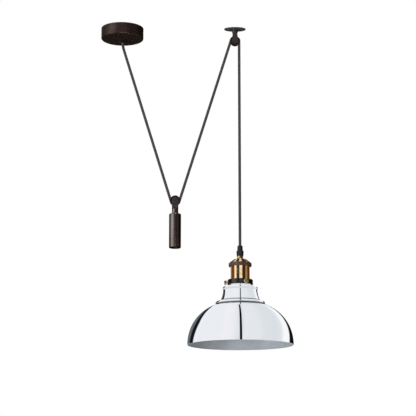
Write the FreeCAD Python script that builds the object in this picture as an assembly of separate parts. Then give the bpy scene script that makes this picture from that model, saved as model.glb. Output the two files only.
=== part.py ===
import FreeCAD, Part

import math
import os

# Rise and fall pendant: a metal dome shade on a brass lampholder hangs from a textile cord.
# The cord climbs to a pulley on the ceiling, drops round the pulley of a counterweight, and
# climbs again to a ceiling canopy, where it is wired.  Pulling the lamp down lifts the weight.
# All sizes are millimetres.  The origin is the canopy's centre on the ceiling plane, +Z is up,
# +X points from the canopy to the ceiling pulley.

# ---- driving dimensions ---------------------------------------------------------------------

# general
THREAD_GAP = 0.05           # radial play of a screw in its thread or a pin in its hole
SEAT_GAP = 0.3              # play between pieces that only nearly touch

# cord
CORD_D = 7.0
CORE_D = 2.2                # each insulated core inside the sheath
CORE_RING = 1.7             # radius of the ring on which the three cores lie
CANOPY_BEND_R = 18.0        # radius of the cord's bend under the canopy's grip

# where the pulleys hang
PULLEY_X = 289.0            # ceiling pulley from the canopy's centre
PULLEY_DROP = 33.0          # its axle below the ceiling
WEIGHT_DROP = 451.0         # the counterweight's axle below the ceiling
RIM_DROP = 813.0            # the shade's rim below the ceiling

# grooved wheels, axles, bushes
PITCH_R = 10.5              # radius of the cord's centre line round a wheel
WHEEL_R = 12.6
WHEEL_W = 10.4
GROOVE_MOUTH = 8.2          # width of the groove at the wheel's edge
BUSH_R = 3.2
AXLE_R = 2.0
AXLE_HEAD_R = 3.8
AXLE_HEAD_T = 1.3
CLIP_R = 3.6
CLIP_T = 0.8
AXLE_TAIL = 0.7             # axle left over behind its clip
SIDE_PLAY = 0.4             # between a wheel's side and the yoke's cheek
CHEEK_T = 1.7
CHEEK_R = 8.0               # rounded end of a cheek
YOKE_ROOM = 3.0             # between the cord on a wheel and the yoke's solid part

# ceiling canopy
CANOPY_R = 54.0
CANOPY_H = 28.3
CANOPY_WALL = 1.2
CANOPY_EDGE = 2.5

# bracket inside the canopy
STRAP_W = 16.0
STRAP_T = 2.0
EAR_DROP = 14.0
EAR_GAP = 0.5
FIX_SPACING = 70.0          # the two slots for the ceiling screws
FIX_SLOT_L = 12.0
FIX_SLOT_W = 4.5
CABLE_HOLE_R = 6.0
SIDE_SCREW_R = 2.0
SIDE_SCREW_DROP = 8.0
SIDE_SCREW_IN = 3.0         # how far it reaches past the ear
SLOT_W = 0.8                # driver slots
SLOT_DEEP = 0.9

# cord grip under the canopy
SPIGOT_R = 4.9              # threaded tube of both cord grips
GRIP_FLANGE_R = 9.0
GRIP_FLANGE_T = 2.5
GRIP_R = 7.8
GRIP_END_R = 7.0
GRIP_LEN = 10.2
GRIP_MOUTH_R = 5.6
GRIP_MOUTH_DEEP = 4.0
GRIP_THREAD_LEN = 8.0
GRIP_NUT_AF = 15.0
GRIP_NUT_T = 3.5
GRIP_WASHER_R = 9.0
GRIP_WASHER_T = 0.8
GRIP_SCREW_R = 1.5
GRIP_SCREW_DROP = 5.0
BEND_CLEAR = 1.0            # straight cord below the grip, before its bend
TAIL_UP = 1.3               # sheath left above the grip's thread

# terminal block on the bracket
BLOCK_X = 10.0              # near end from the canopy's centre
BLOCK_L = 18.0
BLOCK_W = 22.0
BLOCK_H = 12.5
WAY_PITCH = 11.0
WAY_R = 2.6
WAY_BORE = 1.5
WAY_INSET = 2.0
WAY_SCREW_R = 1.7
WAY_SCREW_TIP_R = 1.2
WAY_SCREW_SPAN = 8.0
BLOCK_SCREW_R = 1.5
BLOCK_SCREW_HEAD_R = 2.6
BLOCK_SCREW_HEAD_T = 1.8
EARTH_X = -18.0
EARTH_SCREW_R = 1.75
EARTH_HEAD_R = 3.3
EARTH_HEAD_T = 2.4

# ceiling pulley's plate and yoke
PLATE_LONG_R = 27.5         # oval plate: half its length along X
PLATE_SHORT_R = 15.5        # half its width
PLATE_T = 3.0
PLATE_EDGE = 1.4
PLATE_HOLE_SPACING = 36.0
PLATE_HOLE_R = 2.2
PLATE_SINK_R = 4.2
PLATE_SINK_T = 1.8
BOSS_R = 7.2
BOSS_H = 7.0
WAIST_R = 6.2
ROOT_T = 3.2                # the yoke's solid bridge above its cheeks
BRIDGE_ROUND_R = 9.5        # rounds the corners of both yokes' bridges
PLATE_SCREW_R = 2.5
PLATE_SCREW_LEN = 11.0
PLATE_SCREW_HEAD_R = 4.7

# counterweight
WEIGHT_R = 15.0
WEIGHT_SHELL_LEN = 66.0
WEIGHT_CAP_LEN = 21.0
WEIGHT_WALL = 1.5
WEIGHT_TOP_T = 2.0
WEIGHT_EDGE = 3.0
WEIGHT_FOOT = 1.6           # chamfer round the bottom
WEIGHT_FLOOR_T = 3.0
WEIGHT_SCREW_R = 2.5
WEIGHT_SCREW_LEN = 14.0
WEIGHT_SCREW_HEAD_R = 4.6
YOKE_STEM_R = 8.0
YOKE_STEM_LEN = 5.5
COLLAR_LEN = 11.0
STUD_R = 4.0
STUD_GRIP = 14.0            # stud screwed into the ballast
SEAM = 0.35                 # fine chamfers that show a joint

# shade: heights are above the rim
SHADE_R = 130.5
SHADE_WALL = 0.6
DOME_H = 99.6               # from the rim up to the ledge
DOME_SIDE = 53.0            # how strongly the dome's side stands upright over the rim
DOME_CROWN = 39.5           # how far out the slope at the ledge carries on
CROWN_FALL = 17.7           # that slope, in degrees
LEDGE_R = 59.0
BEAD_OUT = 2.0              # how far the rolled bead stands out over the ledge
BEAD_H = 7.8
CREASE_SHIFT = 1.6          # under the bead the inside turns this many walls further in
STEP_R = 49.0               # inner edge of the step over the bead
STEP_RISE = 2.0
FLARE_H = 25.6              # concave stretch from the step up to the neck
NECK_R = 42.3
NECK_LEN = 2.0
CORNER_OUT = 1.2
CORNER_H = 6.0
SHOULDER_H = 5.0
COLLAR_R = 27.0
LIP_R = 28.4
LIP_T = 1.2
HEM_T = 1.0                 # folded edge inside the rim
HEM_H = 4.0

# shade carrier: a black ring with three thumb screws
RING_R = 31.6
RING_WALL = 1.2
RING_H = 13.2
RING_TOP_T = 2.0
RING_EDGE = 1.4
RING_LIFT = 0.6             # above the shade's shoulder
THUMB_R = 2.0
THUMB_HEAD_R = 5.6
THUMB_HEAD_T = 5.6
THUMB_SHANK = 2.2           # shank that shows between the ring and the head
THUMB_LIFT = 6.5            # screw axis above the ring's lower edge
THUMB_FIRST = -67.4         # degrees from +X
THUMB_COUNT = 3
THUMB_SLOT_W = 1.1
THUMB_SLOT_DEEP = 1.3
CLAMP_R = 23.5
CLAMP_H = 6.5

# lampholder
SHELL_R = 23.7
SHELL_WALL = 0.6
SHELL_H = 32.8
SHELL_EDGE = 0.6
SHELL_TUCK = 4.0            # the shell's edge inside the flange ring
SLEEVE_R = 19.0
SLEEVE_WALL = 1.0
SLEEVE_DROP = 24.7
FLANGE_R = 28.5
FLANGE_H = 8.5
FLANGE_EDGE = 0.9
KNURL_COUNT = 60
KNURL_R = 0.7
KNURL_BITE = 0.45
CAP_WALL = 0.7
CAP_BRIM = 1.6
CAP_BRIM_T = 1.0
CAP_CONE_H = 8.5
CAP_TOP_R = 15.6
CAP_NECK_H = 8.0
CAP_NECK_R = 7.0
CAP_NECK_FOOT_R = 7.3
CAP_NECK_FOOT_H = 3.5
INSERT_GAP = 0.2
INSERT_UPPER_H = 23.3
INSERT_FLOOR_T = 14.0
SOCKET_R = 13.3             # wall of the lamp's screw socket
SOCKET_WALL = 0.6
SOCKET_INSET = 2.0
SOCKET_LEN = 26.0           # straight wall that the lamp cap screws into
SOCKET_END_R = 11.8
SOCKET_HOLE_R = 6.0
CONTACT_R = 4.2
CONTACT_T = 1.0
CONTACT_DROP = 5.0
CONTACT_POST_R = 1.6
CONTACT_POST_IN = 8.0
TERMINAL_RING = 12.0        # terminals' distance from the axis
TERMINAL_L = 7.0
TERMINAL_H = 5.0
TERMINAL_BORE = 1.3
TERMINAL_SCREW_R = 1.25
TERMINAL_HEAD_R = 2.2
TERMINAL_HEAD_T = 1.6

# cord grip on the lampholder
LAMP_GRIP_LEN = 13.5
LAMP_GRIP_FOOT_R = 8.2
LAMP_GRIP_R = 9.1
LAMP_GRIP_BAND = 2.5        # widest band at its top
LAMP_GRIP_CAP_R = 7.1
LAMP_GRIP_CAP_TOP_R = 6.4
LAMP_GRIP_CAP_LEN = 13.3
LAMP_GRIP_CAP_EDGE = 1.0
LAMP_GRIP_FLOOR = 5.5
LAMP_GRIP_THREAD_LEN = 9.5
COLLET_R = 4.55
COLLET_PROUD = 2.4
SHEATH_IN = 11.5            # sheath inside the lampholder's cap

# ---- sizes that follow ----------------------------------------------------------------------

CORD_R = CORD_D / 2
CORE_R = CORE_D / 2
CORD_BORE = CORD_R + THREAD_GAP
PULLEY_Z = -PULLEY_DROP
WEIGHT_Z = -WEIGHT_DROP
LAMP_X = PULLEY_X + PITCH_R
CHEEK_IN = WHEEL_W / 2 + SIDE_PLAY
CHEEK_OUT = CHEEK_IN + CHEEK_T
YOKE_DROP = PITCH_R + CORD_R + YOKE_ROOM

CANOPY_FLOOR = -CANOPY_H + CANOPY_WALL
GRIP_END = -CANOPY_H - GRIP_LEN
TAIL_TOP = CANOPY_FLOOR + GRIP_THREAD_LEN + TAIL_UP
EAR_X = math.sqrt((CANOPY_R - CANOPY_WALL) ** 2 - (STRAP_W / 2) ** 2) - EAR_GAP

RIM_Z = -RIM_DROP
LEDGE_Z = RIM_Z + DOME_H
STEP_Z = LEDGE_Z + BEAD_H
FLARE_Z = STEP_Z + STEP_RISE
NECK_Z = FLARE_Z + FLARE_H
NECK_TOP = NECK_Z + NECK_LEN
CORNER_TOP = NECK_TOP + CORNER_H
SHOULDER_TOP = CORNER_TOP + SHOULDER_H
RING_Z = SHOULDER_TOP + RING_LIFT
THUMB_Z = RING_Z + THUMB_LIFT
LIP_Z = THUMB_Z + THUMB_R + THREAD_GAP
SHELL_Z = RING_Z + RING_H
FLANGE_Z = SHELL_Z + SHELL_H
CAP_Z = FLANGE_Z + FLANGE_H
CAP_CONE_TOP = CAP_Z + CAP_BRIM_T + CAP_CONE_H
CAP_TOP = CAP_CONE_TOP + CAP_NECK_H
LAMP_GRIP_TOP = CAP_TOP + LAMP_GRIP_LEN
LAMP_TOP = LAMP_GRIP_TOP + LAMP_GRIP_CAP_LEN
SLEEVE_Z = SHELL_Z - SLEEVE_DROP
INSERT_TOP = SHELL_Z + SLEEVE_WALL + INSERT_UPPER_H
SHEATH_END = CAP_TOP - SHEATH_IN

# ---- the cord's route -----------------------------------------------------------------------
# Both slanting strands pull the counterweight up at the same angle, so it hangs midway.  The
# left one starts at the bend point under the canopy and touches the weight's wheel on its left.
# The right one touches that wheel on its right and the ceiling wheel on its left.

BEND_POINT_Z = GRIP_END - CORD_R - BEND_CLEAR
BOTH_DROPS = BEND_POINT_Z + PULLEY_Z - 2 * WEIGHT_Z
SLANT = (math.atan2(PULLEY_X, BOTH_DROPS)
         - math.asin(3 * PITCH_R / math.hypot(PULLEY_X, BOTH_DROPS)))
SLANT_SIN = math.sin(SLANT)
SLANT_COS = math.cos(SLANT)
WEIGHT_X = (PITCH_R * SLANT_COS
            + (BEND_POINT_Z + PITCH_R * SLANT_SIN - WEIGHT_Z) * SLANT_SIN / SLANT_COS)
BEND_TANGENT = CANOPY_BEND_R * math.tan(SLANT / 2)


def vec(x, y, z):
    return FreeCAD.Vector(x, y, z)


BEND_START = vec(0, 0, BEND_POINT_Z + BEND_TANGENT)
RISE_TOP = vec(BEND_TANGENT * SLANT_SIN, 0, BEND_POINT_Z - BEND_TANGENT * SLANT_COS)
RISE_FOOT = vec(WEIGHT_X - PITCH_R * SLANT_COS, 0, WEIGHT_Z - PITCH_R * SLANT_SIN)
MIDDLE_FOOT = vec(WEIGHT_X + PITCH_R * SLANT_COS, 0, WEIGHT_Z - PITCH_R * SLANT_SIN)
MIDDLE_TOP = vec(PULLEY_X - PITCH_R * SLANT_COS, 0, PULLEY_Z + PITCH_R * SLANT_SIN)
LAMP_STRAND_TOP = vec(LAMP_X, 0, PULLEY_Z)
LAMP_STRAND_FOOT = vec(LAMP_X, 0, LAMP_TOP)

# ---- shapes used over and over --------------------------------------------------------------

FORWARD = vec(0, 1, 0)
BACKWARD = vec(0, -1, 0)
OVER = 1.0                  # how far a cutter reaches past what it cuts


def disc(radius, bottom, top, x=0.0, y=0.0):
    """An upright round bar between two heights."""
    return Part.makeCylinder(radius, top - bottom, vec(x, y, bottom))


def tube(outer, inner, bottom, top, x=0.0, y=0.0):
    """An upright round tube between two heights."""
    return disc(outer, bottom, top, x, y).cut(disc(inner, bottom - OVER, top + OVER, x, y))


def cone(low_radius, high_radius, bottom, top, x=0.0, y=0.0):
    """An upright tapering bar between two heights."""
    return Part.makeCone(low_radius, high_radius, top - bottom, vec(x, y, bottom))


def block(x0, x1, y0, y1, z0, z1):
    """A rectangular block between two corners."""
    return Part.makeBox(x1 - x0, y1 - y0, z1 - z0, vec(x0, y0, z0))


def bar_x(radius, x0, x1, y, z):
    """A round bar that lies along X."""
    return Part.makeCylinder(radius, x1 - x0, vec(x0, y, z), vec(1, 0, 0))


def bar_y(radius, y0, y1, x, z):
    """A round bar that lies along Y."""
    return Part.makeCylinder(radius, y1 - y0, vec(x, y0, z), FORWARD)


def hexagon(across_flats, bottom, top, x=0.0):
    """An upright hexagonal prism."""
    corner = across_flats / math.sqrt(3)
    points = [vec(x + corner * math.cos(math.radians(60 * i)),
                  corner * math.sin(math.radians(60 * i)), bottom) for i in range(7)]
    return Part.Face(Part.makePolygon(points)).extrude(vec(0, 0, top - bottom))


def outline(points, place):
    """Edges through (a, b) points; a point (a, b, "via", c, d) is reached by an arc via (a, b)."""
    edges = []
    here = place(*points[0])
    for point in points[1:]:
        if len(point) == 2:
            there = place(*point)
            edges.append(Part.LineSegment(here, there).toShape())
        else:
            there = place(*point[3:])
            edges.append(Part.Arc(here, place(*point[:2]), there).toShape())
        here = there
    return edges


def lathe(points, x=0.0):
    """Turn a closed outline of (radius, height) points about an upright axis."""
    edges = outline(points + [points[0]], lambda r, z: vec(x + r, 0, z))
    return turned(edges, x)


def turned(edges, x=0.0):
    """Turn closed edges that lie at y = 0 about an upright axis."""
    section = Part.Face(Part.Wire(edges))
    return section.revolve(vec(x, 0, 0), vec(0, 0, 1), 360)


def straight_cord(start, end, radius=CORD_R):
    """A straight stretch of cord."""
    return Part.makeCylinder(radius, (end - start).Length, start, end - start)


def bent_cord(start, travel, centre, axis, degrees, radius=CORD_R):
    """A stretch of cord that bends about a centre; travel is its direction at the start."""
    section = Part.Face(Part.Wire(Part.makeCircle(radius, start, travel)))
    return section.revolve(centre, axis, degrees)


def core(points, bends):
    """An insulated core along straight runs whose corners are rounded to the given radii."""
    edges = []
    here = points[0]
    for corner, after, bend in zip(points[1:-1], points[2:], bends):
        back = (here - corner).normalize()
        onward = (after - corner).normalize()
        half = back.getAngle(onward) / 2
        reach = bend / math.tan(half)
        enter = corner + back * reach
        leave = corner + onward * reach
        middle = corner + (back + onward).normalize() * (bend / math.sin(half) - bend)
        edges.append(Part.LineSegment(here, enter).toShape())
        edges.append(Part.Arc(enter, middle, leave).toShape())
        here = leave
    edges.append(Part.LineSegment(here, points[-1]).toShape())
    spine = Part.Wire(edges)
    section = Part.Wire(Part.makeCircle(CORE_R, points[0], points[1] - points[0]))
    return spine.makePipeShell([section], True, False)


def save(node, *solids):
    """Write one named piece, or a group of equal pieces, to its own file."""
    shape = solids[0] if len(solids) == 1 else Part.makeCompound(list(solids))
    for solid in shape.Solids:
        if not solid.isValid() or solid.Volume <= 0:
            print("bad solid in", node)
    print("%-26s %2d solid(s) %10.1f mm3" % (node, len(shape.Solids), shape.Volume))
    shape.exportStep("parts/" + node + ".step")


# ---- ceiling canopy -------------------------------------------------------------------------

def canopy_cup():
    """Pressed steel cup, open against the ceiling, with a rounded lower edge."""
    soft = CANOPY_EDGE * math.sin(math.pi / 4)
    inner = CANOPY_R - CANOPY_WALL
    cup = lathe([(0, -CANOPY_H),
                 (CANOPY_R - CANOPY_EDGE, -CANOPY_H),
                 (CANOPY_R - CANOPY_EDGE + soft, -CANOPY_H + CANOPY_EDGE - soft, "via",
                  CANOPY_R, -CANOPY_H + CANOPY_EDGE),
                 (CANOPY_R, 0), (inner, 0), (inner, CANOPY_FLOOR), (0, CANOPY_FLOOR)])
    cup = cup.cut(disc(SPIGOT_R + THREAD_GAP, -CANOPY_H - OVER, 0))
    reach = CANOPY_R + OVER
    return cup.cut(bar_x(SIDE_SCREW_R + THREAD_GAP, -reach, reach, 0, -SIDE_SCREW_DROP))


def canopy_bracket():
    """Steel strap against the ceiling with two turned-down ears for the cup's side screws."""
    half = STRAP_W / 2
    strap = block(-EAR_X, EAR_X, -half, half, -STRAP_T, 0)
    for x0 in (-EAR_X, EAR_X - STRAP_T):
        strap = strap.fuse(block(x0, x0 + STRAP_T, -half, half, -EAR_DROP, -STRAP_T))
    run = FIX_SLOT_L / 2 - FIX_SLOT_W / 2
    for centre in (-FIX_SPACING / 2, FIX_SPACING / 2):
        slot = block(centre - run, centre + run, -FIX_SLOT_W / 2, FIX_SLOT_W / 2,
                     -STRAP_T - OVER, OVER)
        for x in (centre - run, centre + run):
            slot = slot.fuse(disc(FIX_SLOT_W / 2, -STRAP_T - OVER, OVER, x))
        strap = strap.cut(slot)
    strap = strap.cut(disc(CABLE_HOLE_R, -STRAP_T - OVER, OVER))
    strap = strap.cut(disc(BLOCK_SCREW_R, -STRAP_T - OVER, OVER, BLOCK_X + BLOCK_L / 2))
    strap = strap.cut(disc(EARTH_SCREW_R, -STRAP_T - OVER, OVER, EARTH_X))
    strap = strap.cut(bar_x(SIDE_SCREW_R, -EAR_X - OVER, EAR_X + OVER, 0, -SIDE_SCREW_DROP))
    return strap.removeSplitter()


def canopy_side_screws():
    """Two slotted grub screws, flush with the cup, that hold it to the bracket's ears."""
    screws = []
    inner = EAR_X - STRAP_T - SIDE_SCREW_IN
    outer = CANOPY_R - SEAT_GAP
    for side in (-1, 1):
        ends = sorted((side * inner, side * outer))
        screw = bar_x(SIDE_SCREW_R - THREAD_GAP, ends[0], ends[1], 0, -SIDE_SCREW_DROP)
        tip = sorted((side * (outer - SLOT_DEEP), side * (outer + OVER)))
        slot = block(tip[0], tip[1], -SIDE_SCREW_R, SIDE_SCREW_R,
                     -SIDE_SCREW_DROP - SLOT_W / 2, -SIDE_SCREW_DROP + SLOT_W / 2)
        screws.append(screw.cut(slot))
    return screws


def canopy_cord_grip():
    """Moulded grip with a flange, a threaded spigot through the cup and a flared mouth."""
    top = CANOPY_FLOOR + GRIP_THREAD_LEN
    flange_low = -CANOPY_H - GRIP_FLANGE_T
    throat = GRIP_END + GRIP_MOUTH_DEEP
    flare = (CORD_BORE + (GRIP_MOUTH_R - CORD_BORE) * 0.3, GRIP_END + GRIP_MOUTH_DEEP * 0.3)
    grip = lathe([(CORD_BORE, top), (SPIGOT_R, top), (SPIGOT_R, -CANOPY_H),
                  (GRIP_FLANGE_R, -CANOPY_H), (GRIP_FLANGE_R, flange_low),
                  (GRIP_R, flange_low), (GRIP_END_R, GRIP_END), (GRIP_MOUTH_R, GRIP_END),
                  (flare[0], flare[1], "via", CORD_BORE, throat)])
    return grip.cut(bar_y(GRIP_SCREW_R, 0, GRIP_FLANGE_R, 0, -CANOPY_H - GRIP_SCREW_DROP))


def canopy_grip_screw():
    """Slotted grub screw at the back of the grip that pinches the cord."""
    height = -CANOPY_H - GRIP_SCREW_DROP
    outer = GRIP_R - SEAT_GAP
    screw = bar_y(GRIP_SCREW_R - THREAD_GAP, CORD_BORE, outer, 0, height)
    return screw.cut(block(-GRIP_SCREW_R, GRIP_SCREW_R, outer - SLOT_DEEP, outer + OVER,
                           height - SLOT_W / 2, height + SLOT_W / 2))


def canopy_grip_washer():
    """Lock washer between the cup's floor and the nut."""
    return tube(GRIP_WASHER_R, SPIGOT_R + THREAD_GAP, CANOPY_FLOOR,
                CANOPY_FLOOR + GRIP_WASHER_T)


def canopy_grip_nut():
    """Hexagonal nut on the grip's spigot."""
    low = CANOPY_FLOOR + GRIP_WASHER_T
    nut = hexagon(GRIP_NUT_AF, low, low + GRIP_NUT_T)
    return nut.cut(disc(SPIGOT_R + THREAD_GAP, low - OVER, low + GRIP_NUT_T + OVER))


# ---- wiring inside the canopy ---------------------------------------------------------------

BLOCK_TOP = -STRAP_T
BLOCK_LOW = BLOCK_TOP - BLOCK_H
WAY_Z = (BLOCK_TOP + BLOCK_LOW) / 2
WAYS = (-WAY_PITCH / 2, WAY_PITCH / 2)
BLOCK_MID = BLOCK_X + BLOCK_L / 2
WAY_SCREW_XS = (BLOCK_MID - WAY_SCREW_SPAN / 2, BLOCK_MID + WAY_SCREW_SPAN / 2)


def terminal_block():
    """Moulded two-way block under the strap, with bores for the clamps and their screws."""
    body = block(BLOCK_X, BLOCK_X + BLOCK_L, -BLOCK_W / 2, BLOCK_W / 2, BLOCK_LOW, BLOCK_TOP)
    for y in WAYS:
        body = body.cut(bar_x(WAY_R + THREAD_GAP, BLOCK_X - OVER, BLOCK_X + BLOCK_L + OVER,
                              y, WAY_Z))
        for x in WAY_SCREW_XS:
            body = body.cut(disc(WAY_SCREW_R + THREAD_GAP, BLOCK_LOW - OVER, WAY_Z, x, y))
    body = body.cut(disc(BLOCK_SCREW_R + THREAD_GAP, BLOCK_LOW - OVER, BLOCK_TOP + OVER,
                         BLOCK_MID))
    return body.cut(disc(BLOCK_SCREW_HEAD_R + THREAD_GAP, BLOCK_LOW - OVER,
                         BLOCK_LOW + BLOCK_SCREW_HEAD_T, BLOCK_MID))


def terminal_clamps():
    """Brass tubes that the cores are clamped in."""
    clamps = []
    for y in WAYS:
        clamp = bar_x(WAY_R, BLOCK_X + WAY_INSET, BLOCK_X + BLOCK_L - WAY_INSET, y, WAY_Z)
        clamp = clamp.cut(bar_x(WAY_BORE, BLOCK_X, BLOCK_X + BLOCK_L, y, WAY_Z))
        for x in WAY_SCREW_XS:
            clamp = clamp.cut(disc(WAY_SCREW_TIP_R + THREAD_GAP, BLOCK_LOW, WAY_Z, x, y))
        clamps.append(clamp)
    return clamps


def terminal_screws():
    """Slotted clamp screws, two to a way, reached from below."""
    screws = []
    step = WAY_Z - WAY_R - THREAD_GAP
    for y in WAYS:
        for x in WAY_SCREW_XS:
            screw = disc(WAY_SCREW_R, BLOCK_LOW, step, x, y)
            screw = screw.fuse(disc(WAY_SCREW_TIP_R, step, WAY_Z - CORE_R, x, y))
            slot = block(x - WAY_SCREW_R, x + WAY_SCREW_R, y - SLOT_W / 2, y + SLOT_W / 2,
                         BLOCK_LOW - OVER, BLOCK_LOW + SLOT_DEEP)
            screws.append(screw.cut(slot))
    return screws


def terminal_block_screw():
    """Screw that holds the block up against the strap."""
    low = BLOCK_LOW + BLOCK_SCREW_HEAD_T
    screw = disc(BLOCK_SCREW_R - THREAD_GAP, low, -THREAD_GAP, BLOCK_MID)
    screw = screw.fuse(disc(BLOCK_SCREW_HEAD_R, BLOCK_LOW, low, BLOCK_MID))
    return screw.cut(block(BLOCK_MID - BLOCK_SCREW_HEAD_R, BLOCK_MID + BLOCK_SCREW_HEAD_R,
                           -SLOT_W / 2, SLOT_W / 2, BLOCK_LOW - OVER, BLOCK_LOW + SLOT_DEEP))


def earth_screw():
    """Screw in the strap that the earth core is held by."""
    low = -STRAP_T - EARTH_HEAD_T
    screw = disc(EARTH_SCREW_R - THREAD_GAP, -STRAP_T, -THREAD_GAP, EARTH_X)
    screw = screw.fuse(disc(EARTH_HEAD_R, low, -STRAP_T, EARTH_X))
    return screw.cut(block(EARTH_X - EARTH_HEAD_R, EARTH_X + EARTH_HEAD_R,
                           -SLOT_W / 2, SLOT_W / 2, low - OVER, low + SLOT_DEEP))


def canopy_cores():
    """The three cores, from the end of the sheath to the block's clamps and the earth screw."""
    cores = []
    lean = CORE_RING * math.sin(math.radians(60))
    lead = BLOCK_X - 2 * CORE_D
    for y, way in ((-lean, WAYS[0]), (lean, WAYS[1])):
        x = CORE_RING / 2
        cores.append(core([vec(x, y, TAIL_TOP), vec(x, y, WAY_Z), vec(lead, way, WAY_Z),
                           vec(WAY_SCREW_XS[0] + WAY_SCREW_TIP_R, way, WAY_Z)],
                          [CORE_D, CORE_D]))
    high = -STRAP_T - EARTH_HEAD_T / 2 - CORE_R
    cores.append(core([vec(-CORE_RING, 0, TAIL_TOP), vec(-CORE_RING, 0, high),
                       vec(EARTH_X + EARTH_HEAD_R, 0, high)], [CORE_D]))
    return cores


# ---- wheels, axles and yokes ----------------------------------------------------------------

def wheel(x, z):
    """Grooved cord wheel on a level axis; its groove is cut round enough to clear the cord."""
    half = WHEEL_W / 2
    mouth = GROOVE_MOUTH / 2
    floor = PITCH_R - CORD_R - SEAT_GAP
    bore = BUSH_R + THREAD_GAP
    edges = outline([(bore, -half), (WHEEL_R, -half), (WHEEL_R, -mouth),
                     (floor, 0, "via", WHEEL_R, mouth),
                     (WHEEL_R, half), (bore, half), (bore, -half)],
                    lambda r, y: vec(x + r, y, z))
    return Part.Face(Part.Wire(edges)).revolve(vec(x, 0, z), FORWARD, 360)


def wheel_bush(x, z):
    """Plain bearing pressed into a wheel; it stands a little proud of both sides."""
    half = WHEEL_W / 2 + SIDE_PLAY / 2
    bush = bar_y(BUSH_R, -half, half, x, z)
    return bush.cut(bar_y(AXLE_R + THREAD_GAP, -half - OVER, half + OVER, x, z))


def axle(x, z):
    """Pin through both cheeks, with a flat round head at the front."""
    pin = bar_y(AXLE_R, -CHEEK_OUT, CHEEK_OUT + CLIP_T + AXLE_TAIL, x, z)
    head = bar_y(AXLE_HEAD_R, -CHEEK_OUT - AXLE_HEAD_T, -CHEEK_OUT, x, z)
    front = [edge for edge in head.Edges if edge.BoundBox.YMax < -CHEEK_OUT - AXLE_HEAD_T / 2
             and edge.BoundBox.XLength > AXLE_HEAD_R]
    return pin.fuse(head.makeFillet(AXLE_HEAD_T / 2, front)).removeSplitter()


def axle_clip(x, z):
    """Retaining ring behind the back cheek."""
    clip = bar_y(CLIP_R, CHEEK_OUT, CHEEK_OUT + CLIP_T, x, z)
    return clip.cut(bar_y(AXLE_R + THREAD_GAP / 2, 0, CHEEK_OUT + CLIP_T + OVER, x, z))


def cheeks(x, axle_z, root_z, root_half):
    """The yoke's two plates: straight flanks that run tangent into a round end."""
    rise = root_z - axle_z
    turn = math.copysign(math.acos(CHEEK_R / math.hypot(root_half, rise)), rise)
    angle = math.atan2(rise, root_half) - turn
    touch_x = CHEEK_R * math.cos(angle)
    touch_z = axle_z + CHEEK_R * math.sin(angle)
    corners = [vec(x - root_half, 0, root_z), vec(x + root_half, 0, root_z),
               vec(x + touch_x, 0, touch_z), vec(x, 0, axle_z), vec(x - touch_x, 0, touch_z)]
    flank = Part.Face(Part.makePolygon(corners + corners[:1]))
    plates = []
    for y in (-CHEEK_OUT, CHEEK_IN):
        plate = flank.extrude(vec(0, CHEEK_T, 0))
        plate.translate(vec(0, y, 0))
        plate = plate.fuse(bar_y(CHEEK_R, y, y + CHEEK_T, x, axle_z))
        plates.append(plate.cut(bar_y(AXLE_R + THREAD_GAP, y - OVER, y + CHEEK_T + OVER,
                                      x, axle_z)))
    return plates


def bridge(x, half, low, high):
    """The yoke's solid part that both cheeks grow from, with rounded corners."""
    slab = block(x - half, x + half, -CHEEK_OUT, CHEEK_OUT, low, high)
    return slab.common(disc(BRIDGE_ROUND_R, low, high, x))


# ---- ceiling pulley -------------------------------------------------------------------------

def pulley_plate():
    """Oval ceiling plate with two countersunk screw holes and a sunk hole for its screw."""
    rim = Part.Ellipse(vec(PULLEY_X + PLATE_LONG_R, 0, 0), vec(PULLEY_X, PLATE_SHORT_R, 0),
                       vec(PULLEY_X, 0, 0))
    plate = Part.Face(Part.Wire(rim.toShape())).extrude(vec(0, 0, -PLATE_T))
    lower = [edge for edge in plate.Edges if edge.BoundBox.ZMax < -PLATE_T / 2]
    plate = plate.makeFillet(PLATE_EDGE, lower)
    for side in (-1, 1):
        x = PULLEY_X + side * PLATE_HOLE_SPACING / 2
        plate = plate.cut(disc(PLATE_HOLE_R, -PLATE_T - OVER, OVER, x))
        plate = plate.cut(cone(PLATE_SINK_R, PLATE_HOLE_R, -PLATE_T, -PLATE_T + PLATE_SINK_T, x))
    plate = plate.cut(disc(PLATE_SCREW_R + THREAD_GAP, -PLATE_T - OVER, OVER, PULLEY_X))
    return plate.cut(plate_screw_head(THREAD_GAP))


def plate_screw_head(play):
    """Countersunk head, flush with the plate's upper face."""
    depth = PLATE_SCREW_HEAD_R - PLATE_SCREW_R
    return cone(PLATE_SCREW_R + play, PLATE_SCREW_HEAD_R + play, -depth, 0, PULLEY_X)


def pulley_plate_screw():
    """Screw that holds the yoke to the plate from above."""
    shank = disc(PLATE_SCREW_R - THREAD_GAP, -PLATE_SCREW_LEN, 0, PULLEY_X)
    head = cone(PLATE_SCREW_R - THREAD_GAP, PLATE_SCREW_HEAD_R,
                -PLATE_SCREW_HEAD_R + PLATE_SCREW_R - THREAD_GAP, 0, PULLEY_X)
    slot = block(PULLEY_X - PLATE_SCREW_HEAD_R, PULLEY_X + PLATE_SCREW_HEAD_R,
                 -SLOT_W / 2, SLOT_W / 2, -SLOT_DEEP, OVER)
    return shank.fuse(head).cut(slot).removeSplitter()


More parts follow.
